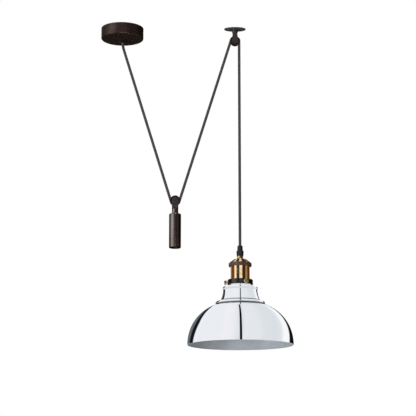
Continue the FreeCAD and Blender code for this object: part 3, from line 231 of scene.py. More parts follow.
@dataclass(frozen=True)
class Braid(Finish):
    """Woven textile sleeve: flat yarns cross over and under each other round the cord."""

    yarns: int = 8              # yarns each way round the cord
    pitch_mm: float = 3.0       # rise of a yarn from one crossing to the next
    sheen: float = 0.3
    sheen_roughness: float = 0.5

    def weave(self, tree: Tree) -> tuple[Socket, Socket]:
        """The crossings of the yarns.

        Args:
            tree: the material's node tree.

        Returns:
            The height of the yarns, and which way the upper yarn runs, both from 0 to 1.
        """
        around, along = add(tree, "SeparateXYZ", {
            0: add(tree, "UVMap").outputs[0]}).outputs[0:2]
        turns = add(tree, "Math", {0: around, 1: float(self.yarns)}, operation="MULTIPLY").outputs[0]
        rises = add(tree, "Math", {0: along, 1: METRE / self.pitch_mm},
                    operation="MULTIPLY").outputs[0]
        ways = [add(tree, "Math", {0: turns, 1: rises}, operation=way).outputs[0]
                for way in ("ADD", "SUBTRACT")]
        crowns = [add(tree, "Math", {0: way, 1: 0.5}, operation="PINGPONG").outputs[0]
                  for way in ways]
        counts = [add(tree, "Math", {0: way}, operation="FLOOR").outputs[0] for way in ways]
        both = add(tree, "Math", {0: counts[0], 1: counts[1]}, operation="ADD").outputs[0]
        over = add(tree, "Math", {0: both, 1: 1.0}, operation="PINGPONG").outputs[0]
        height = add(tree, "Mix", {0: over, 2: crowns[0], 3: crowns[1]}, data_type="FLOAT").outputs[0]
        return add(tree, "Math", {0: height, 1: 2.0}, operation="MULTIPLY").outputs[0], over

    @functools.cache
    def build(self) -> Material:
        """Make the material, once.

        Returns:
            The finished material.
        """
        material = bpy.data.materials.new(self.name)
        material.use_nodes = True
        tree = material.node_tree
        surface = tree.nodes["Principled BSDF"]
        height, over = self.weave(tree)
        # painted shade: yarns that lie on top are lighter on their crowns, and the weave is dark
        # elsewhere
        shade = add(tree, "Math", {0: height, 1: over}, operation="MULTIPLY").outputs[0]
        colour = add(tree, "Mix", {0: shade, 6: linear(self.dark), 7: linear(self.light)},
                     data_type="RGBA").outputs[2]
        tree.links.new(colour, surface.inputs["Base Color"])
        bump = add(tree, "Bump", {"Height": height, "Distance": self.depth_mm * MM}).outputs[0]
        tree.links.new(bump, surface.inputs["Normal"])
        rough = add(tree, "MapRange", {0: height, 3: self.roughness,
                                       4: self.roughness - self.spread}).outputs[0]
        tree.links.new(rough, surface.inputs["Roughness"])
        surface.inputs["Sheen Weight"].default_value = self.sheen
        surface.inputs["Sheen Roughness"].default_value = self.sheen_roughness
        return material


# ---- finishes -------------------------------------------

# Spun aluminium, polished to a mirror: clean reflections that bend a little in the thin sheet.
MIRROR = Finish("mirror_polished_aluminium", "#fbfbfc", "#fbfbfc", 1.0, 0.0, spread=0.0,
                patch_mm=55.0, grain=Grain.TURNED, grain_mm=0.9, depth_mm=0.0,
                wave_mm=60.0, wave_depth_mm=0.01)
# Painted reflection: the lower side of the bead is painted a dull slate grey in place of the dark
# that it mirrors.
BEAD_PAINTED_REFLECTION = Finish("bead_painted_dark_reflection", "#8d96a0", "#666d76", 0.8, 0.32, spread=0.08,
                     patch_mm=9.0, grain=Grain.TURNED, grain_mm=0.8, depth_mm=0.004)
# The same sheet inside, satin and unlacquered: a soft blue-grey without reflections.
SATIN_INSIDE = Finish("satin_aluminium_inside", "#d4dce2", "#c6ced4", 0.2, 0.5,
                      patch_mm=40.0, grain=Grain.TURNED, grain_mm=1.0, depth_mm=0.004)
# Polished brass under clear lacquer: warm gold with sharp dark bands.
POLISHED_BRASS = Finish("polished_brass", "#fff1c8", "#f9dcaa", 1.0, 0.06, spread=0.02,
                        patch_mm=9.0, grain=Grain.TURNED, grain_mm=0.5, depth_mm=0.0003)
# Old spun brass: brown tarnish in patches takes the shine off.
AGED_BRASS = Finish("aged_brass", "#fff0bc", "#a67a46", 1.0, 0.13, spread=0.05,
                    patch_mm=4.0, grain=Grain.TURNED, grain_mm=0.5, depth_mm=0.001)
# Turned thumb screws: brass with a duller, handled face.
SCREW_BRASS = Finish("turned_brass_screws", "#ffeaba", "#cfa868", 0.9, 0.25, spread=0.06,
                     patch_mm=2.5, grain_mm=0.35, depth_mm=0.004)
# Brass of the live parts, machined and left plain: a yellow satin.
TERMINAL_BRASS = Finish("machined_brass", "#d9b877", "#b08d4e", 1.0, 0.3, patch_mm=4.0)
# Copper-brown anodised aluminium, knurled: metallic, dull, slightly red.
FLANGE_BRONZE = Finish("bronze_anodised_aluminium", "#7a675b", "#4c3b33", 0.45, 0.36,
                       patch_mm=6.0, grain_mm=0.4, depth_mm=0.005)
# Oil-rubbed bronze on pressed steel: nearly black, with a brown satin glow.
# Its downward faces are painted one even brown tone in place of their own light and shade.
DARK_BRONZE = Finish("oil_rubbed_bronze", "#54443f", "#403330", 0.75, 0.28, spread=0.05,
                     patch_mm=16.0, grain_mm=0.5, depth_mm=0.003, below="#57483f")
# Lacquered steel sheet of the ceiling plate: a flat dark grey.
PLATE_STEEL = Finish("lacquered_steel_plate", "#5c5c5c", "#4c4c4c", 0.2, 0.4, patch_mm=9.0,
                     grain_mm=0.5, depth_mm=0.003)
# Turned and lacquered bronze of the counterweight: a soft light with deep brown beside it.
# Its downward faces are painted near-black, as painted shade under the weight's foot.
WEIGHT_BRONZE = Finish("turned_dark_bronze", "#928d8b", "#898380", 1.0, 0.055, spread=0.01,
                       patch_mm=30.0, axis_x=WEIGHT_X, grain_mm=0.45, depth_mm=0.0002,
                       below="#17120e")
# Forged yokes under the same lacquer: a duller skin, brown where it is handled.
YOKE_BRONZE = Finish("forged_dark_bronze", "#62565a", "#4a3f41", 0.75, 0.26, patch_mm=5.0,
                     grain_mm=0.4, depth_mm=0.003)
# Blackened wheels: a dull near-black that the cord rubs in patches.
WHEEL_BRONZE = Finish("blackened_bronze_wheel", "#3a322f", "#241f1d", 0.8, 0.4, patch_mm=4.0,
                      grain_mm=0.4, depth_mm=0.006)
# Zinc-plated mild steel: bluish grey with rolled streaks.
ZINC_STEEL = Finish("zinc_plated_steel", "#b9bcbf", "#9a9ea2", 1.0, 0.36, grain=Grain.DRAWN,
                    patch_mm=8.0, grain_mm=0.4, depth_mm=0.004)
# Blackened steel of pins and side screws: dark grey with a satin shine.
DARK_STEEL = Finish("blackened_steel_pin", "#6b6462", "#4a4442", 1.0, 0.3, patch_mm=3.0,
                    grain_mm=0.3, depth_mm=0.003)
# Sintered bronze bushes: porous and dull, dark with oil.
BEARING_BRONZE = Finish("sintered_bronze", "#b08a52", "#7d5d33", 1.0, 0.48, patch_mm=2.0,
                        grain_mm=0.25, depth_mm=0.01)
# Lead alloy ballast: dull blue-grey, cast.
LEAD = Finish("cast_lead", "#7b7d80", "#5b5d60", 0.8, 0.6, patch_mm=6.0, grain_mm=1.0,
              depth_mm=0.03)
# Black nickel plate: a deep black that shows soft lights.
BLACK_NICKEL = Finish("black_nickel_plate", "#4f5254", "#474a4c", 1.0, 0.16, patch_mm=10.0,
                      grain_mm=0.6, depth_mm=0.001)
# Moulded nylon: spark-eroded grain, faint sheen.
BLACK_NYLON = Finish("black_nylon", "#2a2a2a", "#1c1c1c", 0.0, 0.42, patch_mm=7.0,
                     grain_mm=0.35, depth_mm=0.012)
# Moulded rubber: matt black without a highlight, darkened past rubber's own black as painted shade
# under the canopy.
BLACK_RUBBER = Finish("black_rubber", "#121010", "#0c0a0a", 0.0, 0.85, grain_mm=0.3,
                      depth_mm=0.02)
# Phenolic moulding: glossy brown-black with a faint marbling.
PHENOLIC = Finish("brown_phenolic", "#33261f", "#1f1713", 0.0, 0.28, patch_mm=5.0,
                  grain_mm=0.6, depth_mm=0.003)
# Moulded polyamide of the terminal block: cream with a faint sheen.
CREAM_NYLON = Finish("cream_polyamide", "#dcd8cb", "#cfcabb", 0.0, 0.45, grain_mm=0.4,
                     depth_mm=0.008)
# Extruded sleeves of the three cores: smooth, evenly coloured plastic.
CORE_BROWN, CORE_BLUE, CORE_GREEN = (
    Finish(name, light, dark, 0.0, 0.4, grain_mm=0.3, depth_mm=0.004)
    for name, light, dark in (("brown_core_sleeve", "#5d3a20", "#4d2e18"),
                              ("blue_core_sleeve", "#2f5fb0", "#264f97"),
                              ("green_core_sleeve", "#7fae2b", "#6c9a22")))
# Woven rayon braid of the cord: charcoal yarns with a silky grey sheen. Real yarns are finer than
# a pixel, so they are drawn 3 mm apart to show.
BRAID = Braid("charcoal_rayon_braid", "#707070", "#2e2e2e", 0.0, 0.8, spread=0.25, depth_mm=0.25)

Dresses = tuple[tuple[Finish, tuple[str, ...]], ...]


# ---- shapes ---------------------------------------------

@dataclass
class Section:
    """A turned section: (radius, height, surface) points in millimetres."""

    points: list[tuple[float, float, int]] = field(default_factory=list)

    def to(self, radius: float, height: float, surface: int = 0) -> "Section":
        """Run straight to a point.

        Args:
            radius: distance from the axis.
            height: height in the CAD frame.
            surface: number of the material on the way there.

        Returns:
            The section itself.
        """
        self.points.append((radius, height, surface))
        return self

    def arc(self, via: Point, end: Point, surface: int = 0, steps: int = 10) -> "Section":
        """Run along a circular arc through two more points.

        Args:
            via: a point on the arc.
            end: where the arc ends.
            surface: number of the material along the arc.
            steps: pieces that the arc is made of.

        Returns:
            The section itself.
        """
        start = self.points[-1][:2]
        (ax, ay), (bx, by), (cx, cy) = start, via, end
        spread = 2 * (ax * (by - cy) + bx * (cy - ay) + cx * (ay - by))
        sa, sb, sc = ax * ax + ay * ay, bx * bx + by * by, cx * cx + cy * cy
        ox = (sa * (by - cy) + sb * (cy - ay) + sc * (ay - by)) / spread
        oy = (sa * (cx - bx) + sb * (ax - cx) + sc * (bx - ax)) / spread
        first, mid, last = (math.atan2(y - oy, x - ox) for x, y in (start, via, end))
        turn = (last - first) % FULL_TURN
        if (mid - first) % FULL_TURN > turn:
            turn -= FULL_TURN
        radius = math.hypot(ax - ox, ay - oy)
        for i in range(1, steps + 1):
            angle = first + turn * i / steps
            self.to(ox + radius * math.cos(angle), oy + radius * math.sin(angle), surface)
        return self

    def round_off(self, corner: Point, offsets: tuple[Point, Point, Point], surface: int,
                  steps: int) -> "Section":
        """Round a corner off.

        Args:
            corner: the sharp corner.
            offsets: start, middle and end of the rounding, told from the corner.
            surface: number of the material along the rounding.
            steps: pieces that it is made of.

        Returns:
            The section itself.
        """
        start, via, end = ((corner[0] + r, corner[1] + z) for r, z in offsets)
        return self.to(*start).arc(via, end, surface, steps)

    def turn(self, name: str, axis_x: float, finishes: list[Material], segments: int,
             sharp_degrees: float = 32.0) -> bpy.types.Object:
        """Turn the closed section about its upright axis.

        Args:
            name: name of the new piece.
            axis_x: where the axis stands.
            finishes: materials that the points' surface numbers choose from.
            segments: faces round the axis.
            sharp_degrees: edges steeper than this stay crisp.

        Returns:
            The new mesh object.
        """
        mesh = bpy.data.meshes.new(name)
        work = bmesh.new()
        rings = []
        for radius, height, _ in self.points:
            rings.append([work.verts.new(((axis_x + radius * math.cos(a)) * MM,
                                          radius * math.sin(a) * MM, height * MM))
                          for a in (FULL_TURN * i / segments for i in range(segments))])
        for lower, upper, (_, _, surface) in zip(rings, rings[1:] + rings[:1],
                                                 self.points[1:] + self.points[:1]):
            for i in range(segments):
                after = (i + 1) % segments
                face = work.faces.new((lower[i], lower[after], upper[after], upper[i]))
                face.material_index = surface
                face.smooth = True
        bmesh.ops.recalc_face_normals(work, faces=work.faces)
        work.to_mesh(mesh)
        work.free()
        mesh.set_sharp_from_angle(angle=math.radians(sharp_degrees))
        return stand(name, mesh, finishes)


def stand(name: str, mesh: bpy.types.Mesh, finishes: list[Material]) -> bpy.types.Object:
    """Put a mesh in the scene with its materials.

    Args:
        name: name of the new piece.
        mesh: its mesh, in metres in the CAD frame.
        finishes: its materials.

    Returns:
        The new object.
    """
    for finish in finishes:
        mesh.materials.append(finish)
    piece = bpy.data.objects.new(name, mesh)
    bpy.context.scene.collection.objects.link(piece)
    return piece


# ---- sub-assemblies -------------------------------------

@dataclass
class Assembly:
    """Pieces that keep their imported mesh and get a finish."""

    dresses: Dresses = ()

    def dress(self) -> None:
        """Give each piece its material."""
        for finish, names in self.dresses:
            for name in names:
                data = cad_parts[name].data
                data.materials.clear()
                data.materials.append(finish.build())
                LOG.info("dressed %s in %s", name, finish.name)


@dataclass
class Canopy(Assembly):
    """Ceiling cup with its bracket, cord grip and terminals."""

    dresses: Dresses = (
        (DARK_BRONZE, ("canopy_cup",)),
        (ZINC_STEEL, ("canopy_bracket", "earth_screw", "canopy_grip_washer", "terminal_screws",
                      "terminal_block_screw")),
        (DARK_STEEL, ("canopy_side_screws",)),
        # the cord grip wears the darkest rubber as painted shade under the canopy
        (BLACK_RUBBER, ("canopy_cord_grip",)),
        (BLACK_NYLON, ("canopy_grip_screw", "canopy_grip_nut")),
        (CREAM_NYLON, ("terminal_block",)),
        (TERMINAL_BRASS, ("terminal_clamps",)),
        (CORE_BROWN, ("canopy_core_live",)),
        (CORE_BLUE, ("canopy_core_neutral",)),
        (CORE_GREEN, ("canopy_core_earth",)),
    )


@dataclass
class CeilingPulley(Assembly):
    """Plate, yoke and wheel under the ceiling."""

    dresses: Dresses = (
        (PLATE_STEEL, ("pulley_plate",)),
        (YOKE_BRONZE, ("pulley_yoke",)),
        (WHEEL_BRONZE, ("ceiling_wheel",)),
        (BEARING_BRONZE, ("ceiling_wheel_bush",)),
        (DARK_STEEL, ("ceiling_axle",)),
        (ZINC_STEEL, ("pulley_plate_screw", "ceiling_axle_clip")),
    )


@dataclass
class Counterweight(Assembly):
    """Yoke and wheel with the weight that hangs from them."""

    dresses: Dresses = (
        (WEIGHT_BRONZE, ("weight_shell", "weight_bottom_cap", "weight_collar")),
        (YOKE_BRONZE, ("weight_yoke",)),
        (WHEEL_BRONZE, ("weight_wheel",)),
        (BEARING_BRONZE, ("weight_wheel_bush",)),
        (DARK_STEEL, ("weight_axle",)),
        (ZINC_STEEL, ("weight_bottom_screw", "weight_axle_clip")),
        (LEAD, ("weight_core",)),
    )


@dataclass
class Lampholder(Assembly):
    """Holder with its grip, socket, carrier ring and thumb screws, and its polished shell."""

    dresses: Dresses = (
        (BLACK_NYLON, ("lamp_grip_body", "lamp_grip_cap", "fitter_clamp_ring")),
        (BLACK_RUBBER, ("lamp_grip_collet",)),
        (TERMINAL_BRASS, ("holder_terminals", "holder_terminal_screws", "socket_screw_shell",
                          "centre_contact")),
        # the left thumb screw wears the darker aged brass as painted shade, unlike the other two
        # thumb screws
        (AGED_BRASS, ("holder_cap", "fitter_screw_left")),
        (SCREW_BRASS, ("fitter_screw_right", "fitter_screw_back")),
        (FLANGE_BRONZE, ("holder_flange_ring",)),
        (BLACK_NICKEL, ("fitter_ring",)),
        (PHENOLIC, ("holder_insert",)),
        (CORE_BROWN, ("lamp_core_live",)),
        (CORE_BLUE, ("lamp_core_neutral",)),
        (CORE_GREEN, ("lamp_core_earth",)),
    )
    radius: float = 23.7
    wall: float = 0.6
    low: float = -651.2
    top: float = -614.4
    floor: float = 1.0          # thickness of the ledge between shell and sleeve
    sleeve: float = 19.0
    sleeve_wall: float = 1.0
    sleeve_low: float = -675.9
    edge: float = 0.6           # rounding of the lower edge
    edge_dip: float = 0.18      # how far the middle of the rounding lies inside the corner
    segments: int = 160

    def shell(self, finish: Material) -> None:
        """Build the shell with its sleeve and let it stand for its node.

        Args:
            finish: the brass.
        """
        bore = self.sleeve - self.sleeve_wall
        s = Section()
        s.to(bore, self.sleeve_low).to(self.sleeve, self.sleeve_low)
        s.to(self.sleeve, self.low).to(self.radius - self.edge, self.low)
        s.arc((self.radius - self.edge_dip, self.low + self.edge_dip),
              (self.radius, self.low + self.edge), steps=5)
        s.to(self.radius, self.low + 2 * self.edge).to(self.radius, self.top - self.edge)
        s.to(self.radius, self.top).to(self.radius - self.wall, self.top)
        s.to(self.radius - self.wall, self.low + self.floor).to(bore, self.low + self.floor)
        piece = s.turn("brass_shell", LAMP_X, [finish], self.segments)
        piece.visible_glossy = False
        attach(piece, "lamp")
        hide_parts("holder_shell")
        LOG.info("made %s", piece.name)


@dataclass
class Shade:
    """Spun dome with a rolled bead, a flared neck and a lipped collar."""

    rim: float = -813.0
    radius: float = 130.49
    side: float = 53.0          # reach of the upright tangent at the rim
    crown: float = 39.5         # reach of the flatter tangent at the ledge
    crown_fall: float = 17.7    # its fall, in degrees
    wall: float = 0.6
    ledge_radius: float = 59.0
    ledge: float = -713.4
    ledge_walls: float = 1.6    # walls by which the inside of the ledge lies further in
    ledge_drop: float = 0.32    # how much lower it lies
    bead_radius: float = 61.0
    bead_middle: float = -709.89
    painted_reflection_top: float = -710.3  # below this the bead carries the painted dark reflection
    step_radius: float = 57.0
    step: float = -705.6
    flare_radius: float = 49.0
    flare: float = -703.6
    flare_round: tuple[Point, Point, Point] = ((1.2, -0.3), (0.2, 0.1), (-0.5, 1.2))
    waist_radius: float = 44.11
    waist: float = -690.29
    neck_radius: float = 42.3
    neck: float = -678.0
    neck_top: float = -676.0
    corner_radius: float = 43.5
    corner: float = -673.0
    corner_top: float = -670.0
    shoulder_top: float = -665.0
    shoulder_round: tuple[Point, Point, Point] = ((1.2, -0.35), (0.3, 0.1), (0.0, 1.0))
    lip: float = -655.85
    lip_thick: float = 1.2
    collar: float = 27.0
    lip_radius: float = 28.4
    edge: float = 0.3           # rounding of the lip and of the hem
    hem: float = 1.0            # thickness of the folded hem
    hem_height: float = 4.0
    hem_slope: float = 0.5      # drop of its slanting upper side
    hem_bend: float = 1.0       # height at which its foot starts to round
    hem_foot: float = 0.8       # reach of its rounded foot
    dome_steps: int = 72
    segments: int = 224
    sharp_degrees: float = 40.0

    def dome_line(self, section: Section, skin: float, surface: int, upwards: bool) -> None:
        """Follow the dome between the rim and the ledge, on one cubic curve.

        Args:
            section: the section that is extended.
            skin: how far inside the outer surface.
            surface: number of the material.
            upwards: from the rim to the ledge, or back down.
        """
        fall = math.radians(self.crown_fall)
        rise = skin * (self.ledge_walls * math.sin(fall) - 1) / math.cos(fall)
        poles = ((self.radius - skin, self.rim), (self.radius - skin, self.rim + self.side),
                 (self.ledge_radius + self.crown * math.cos(fall) - skin * math.sin(fall),
                  self.ledge - self.crown * math.sin(fall) - skin * math.cos(fall)),
                 (self.ledge_radius - self.ledge_walls * skin, self.ledge + rise))
        low = self.hem_height / (3 * self.side) if skin else 0.0
        for i in range(self.dome_steps + 1):
            share = i / self.dome_steps if upwards else 1 - i / self.dome_steps
            t = low + (1 - low) * share
            shares = ((1 - t) ** 3, 3 * t * (1 - t) ** 2, 3 * t * t * (1 - t), t ** 3)
            radius, height = (sum(f * pole[k] for f, pole in zip(shares, poles)) for k in (0, 1))
            section.to(radius, height, surface)

    def outer(self, s: Section, outside: int, bead_reflection: int) -> None:
        """Run up the outer face, from the rim to the lip.

        Args:
            s: the section that is extended.
            outside: number of the mirror finish.
            bead_reflection: number of the finish with the painted dark reflection.
        """
        self.dome_line(s, 0.0, outside, True)
        s.arc((self.bead_radius, self.bead_middle), (self.step_radius, self.step), bead_reflection, steps=14)
        # the bead's lower side keeps the painted dark reflection, the rest of the outer face is
        # mirror
        s.points = [(r, z, outside if z > self.painted_reflection_top else kind) for r, z, kind in s.points]
        s.round_off((self.flare_radius, self.flare), self.flare_round, bead_reflection, steps=3)
        s.arc((self.waist_radius, self.waist), (self.neck_radius, self.neck), outside, steps=20)
        s.to(self.neck_radius, self.neck_top)
        s.arc((self.corner_radius, self.corner), (self.neck_radius, self.corner_top), outside)
        s.round_off((self.collar, self.shoulder_top), self.shoulder_round, outside, steps=4)
        s.to(self.collar, self.lip).to(self.lip_radius - self.edge, self.lip)
        s.to(self.lip_radius, self.lip + self.edge)
        s.to(self.lip_radius, self.lip + self.lip_thick - self.edge)
        s.to(self.lip_radius - self.edge, self.lip + self.lip_thick)

    def inner(self, s: Section, inside: int) -> None:
        """Run down the inner face, from the lip to the rim.

        Args:
            s: the section that is extended.
            inside: number of the satin finish.
        """
        wall = self.wall
        s.to(self.collar - wall, self.lip + self.lip_thick)
        s.to(self.collar - wall, self.shoulder_top - wall, inside)
        s.to(self.neck_radius - wall, self.corner_top - wall, inside)
        s.arc((self.corner_radius - wall, self.corner), (self.neck_radius - wall, self.neck_top),
              inside, steps=8)
        s.to(self.neck_radius - wall, self.neck, inside)
        s.arc((self.waist_radius - wall, self.waist), (self.flare_radius - wall, self.flare - wall),
              inside, steps=12)
        s.to(self.step_radius - wall, self.step - wall, inside)
        s.arc((self.bead_radius - wall, self.bead_middle),
              (self.ledge_radius - self.ledge_walls * wall, self.ledge - self.ledge_drop), inside)
        self.dome_line(s, wall, inside, False)
        fold = self.radius - wall - self.hem
        s.to(fold + self.edge, self.rim + self.hem_height - self.hem_slope, inside)
        s.to(fold, self.rim + self.hem_bend, inside)
        s.arc((fold + self.edge, self.rim + self.edge), (fold + self.hem_foot, self.rim), inside,
              steps=4)

    def make(self, outside: Material, inside: Material, bead_reflection: Material) -> None:
        """Build the shade and let it stand for its node.

        Args:
            outside: finish of the outer face.
            inside: finish of the inner face.
            bead_reflection: finish of the lower side of the bead, with its painted dark reflection.
        """
        s = Section()
        self.outer(s, outside=0, bead_reflection=2)
        self.inner(s, inside=1)
        s.to(self.radius - self.edge, self.rim)
        piece = s.turn("mirror_shade", LAMP_X, [outside, inside, bead_reflection], self.segments,
                       self.sharp_degrees)
        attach(piece, "lamp")
        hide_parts("shade")
        LOG.info("made %s", piece.name)


@dataclass
class Cord:
    """Textile cord, in two stretches that meet at the right side of the ceiling wheel."""

    diameter: float = 7.0
    sides: int = 20
    smoothness: int = 16        # points of the line for each control point
    loop: tuple[Place, ...] = (
        (0, 0, -17.8), (0, 0, -43.0), (8.44, 0, -70.22), (114.99, 0, -413.99),
        (126.02, 0, -449.59), (128.83, 0, -458.63), (137.45, 0, -462.52), (146.08, 0, -458.63),
        (148.88, 0, -449.59), (159.92, 0, -413.99), (266.54, 0, -70.01), (277.38, 0, -35.03),
        (280.56, 0, -24.75), (290.77, 0, -21.33), (299.50, 0, -27.62), (299.50, 0, -33.0))
    drop: tuple[Place, ...] = ((299.5, 0, -33.0), (299.5, 0, -300.0), (299.5, 0, -603.9))
    wheel_reach: float = 20.0   # beyond the axle, past every point of the cord
    rise_from: float = -45.60   # heights of the still ends of the three straight strands
    middle_from: float = -29.89
    drop_from: float = -33.0
    weight_end: float = -454.11     # heights of their moving ends
    lamp_end: float = -565.6

    def centreline(self, name: str, points: tuple[Place, ...]) -> list[Vector]:
        """Read the smooth line that a route's control points give.

        Args:
            name: name of the route.
            points: its control points in millimetres.

        Returns:
            Points along the line, in metres.
        """
        curve = bpy.data.curves.new(name, "CURVE")
        curve.dimensions = "3D"
        curve.resolution_u = self.smoothness
        spline = curve.splines.new("NURBS")
        spline.points.add(len(points) - 1)
        for point, place in zip(spline.points, points):
            point.co = (*(value * MM for value in place), 1.0)
        spline.order_u = 3
        spline.use_endpoint_u = True
        route = bpy.data.objects.new(name, curve)
        line = bpy.data.meshes.new_from_object(route)
        read = [vertex.co.copy() for vertex in line.vertices]
        bpy.data.objects.remove(route)
        bpy.data.meshes.remove(line)
        return read

    def tube(self, name: str, line: list[Vector], finish: Material) -> bpy.types.Object:
        """Sweep the cord's round section along a line that lies in the plane y = 0.

        Args:
            name: name of the piece.
            line: the centreline in metres.
            finish: the braid.

        Returns:
            The tube, with its turns and its length as UV coordinates.
        """
        work = bmesh.new()
        sheet = work.loops.layers.uv.new("UVMap")
        radius = self.diameter / 2 * MM
        rings, lengths, run = [], [], 0.0
        for i, place in enumerate(line):
            ahead = (line[min(i + 1, len(line) - 1)] - line[max(i - 1, 0)]).normalized()
            side = Vector((0.0, 1.0, 0.0))
            out = ahead.cross(side)
            run += (place - line[max(i - 1, 0)]).length
            lengths.append(run)
            rings.append([work.verts.new(place + radius * (math.cos(a) * out + math.sin(a) * side))
                          for a in (FULL_TURN * k / self.sides for k in range(self.sides))])
        for i in range(len(rings) - 1):
            for k in range(self.sides):
                after = (k + 1) % self.sides
                face = work.faces.new((rings[i][k], rings[i][after],
                                       rings[i + 1][after], rings[i + 1][k]))
                face.smooth = True
                turns = (k / self.sides, (k + 1) / self.sides)
                corners = ((turns[0], lengths[i]), (turns[1], lengths[i]),
                           (turns[1], lengths[i + 1]), (turns[0], lengths[i + 1]))
                for loop, corner in zip(face.loops, corners):
                    loop[sheet].uv = corner
        work.faces.new(reversed(rings[0]))
        work.faces.new(rings[-1])
        bmesh.ops.recalc_face_normals(work, faces=work.faces)
        mesh = bpy.data.meshes.new(name)
        work.to_mesh(mesh)
        work.free()
        return stand(name, mesh, [finish])

    def share(self, piece: bpy.types.Object, line: list[Vector],
              ends: tuple[tuple[float, float, float], ...]) -> None:
        """Work out how far along its strand each point lies, as weights for the moving end; the
        weights are not applied.

        Args:
            piece: the tube; not used.
            line: its centreline in metres.
            ends: for each strand the largest x it reaches, and the heights of its still end
                and its moving end, in millimetres.
        """
        weights = []
        for place in line:
            still, moving = next((a, b) for x, a, b in ends if place.x <= x * MM)
            part = (still * MM - place.z) / ((still - moving) * MM)
            weights += [min(1.0, max(0.0, part))] * self.sides

    def make(self, finish: Material) -> None:
        """Build both stretches.

        Args:
            finish: the braid.
        """
        line = self.centreline("looped_route", self.loop)
        looped = self.tube("looped_cord", line, finish)
        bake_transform(looped)
        self.share(looped, line, ((WEIGHT_X, self.rise_from, self.weight_end),
                                  (PULLEY_X + self.wheel_reach, self.middle_from, self.weight_end)))
        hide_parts("cord_canopy_entry", "cord_rise_strand", "cord_weight_wrap",
                    "cord_middle_strand", "cord_ceiling_wrap")
        line = self.centreline("drop_route", self.drop)
        hung = self.tube("lamp_cord", line, finish)
        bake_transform(hung)
        self.share(hung, line, ((PULLEY_X + self.wheel_reach, self.drop_from, self.lamp_end),))
        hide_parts("cord_lamp_strand", "cord_lamp_tail")
        for piece in (looped, hung):
            piece.visible_glossy = False
            LOG.info("made %s", piece.name)

    @staticmethod
    def length(line: list[Vector]) -> float:
        """Length of a line in metres."""
        return sum((b - a).length for a, b in zip(line, line[1:]))


# ---- the studio -----------------------------------------

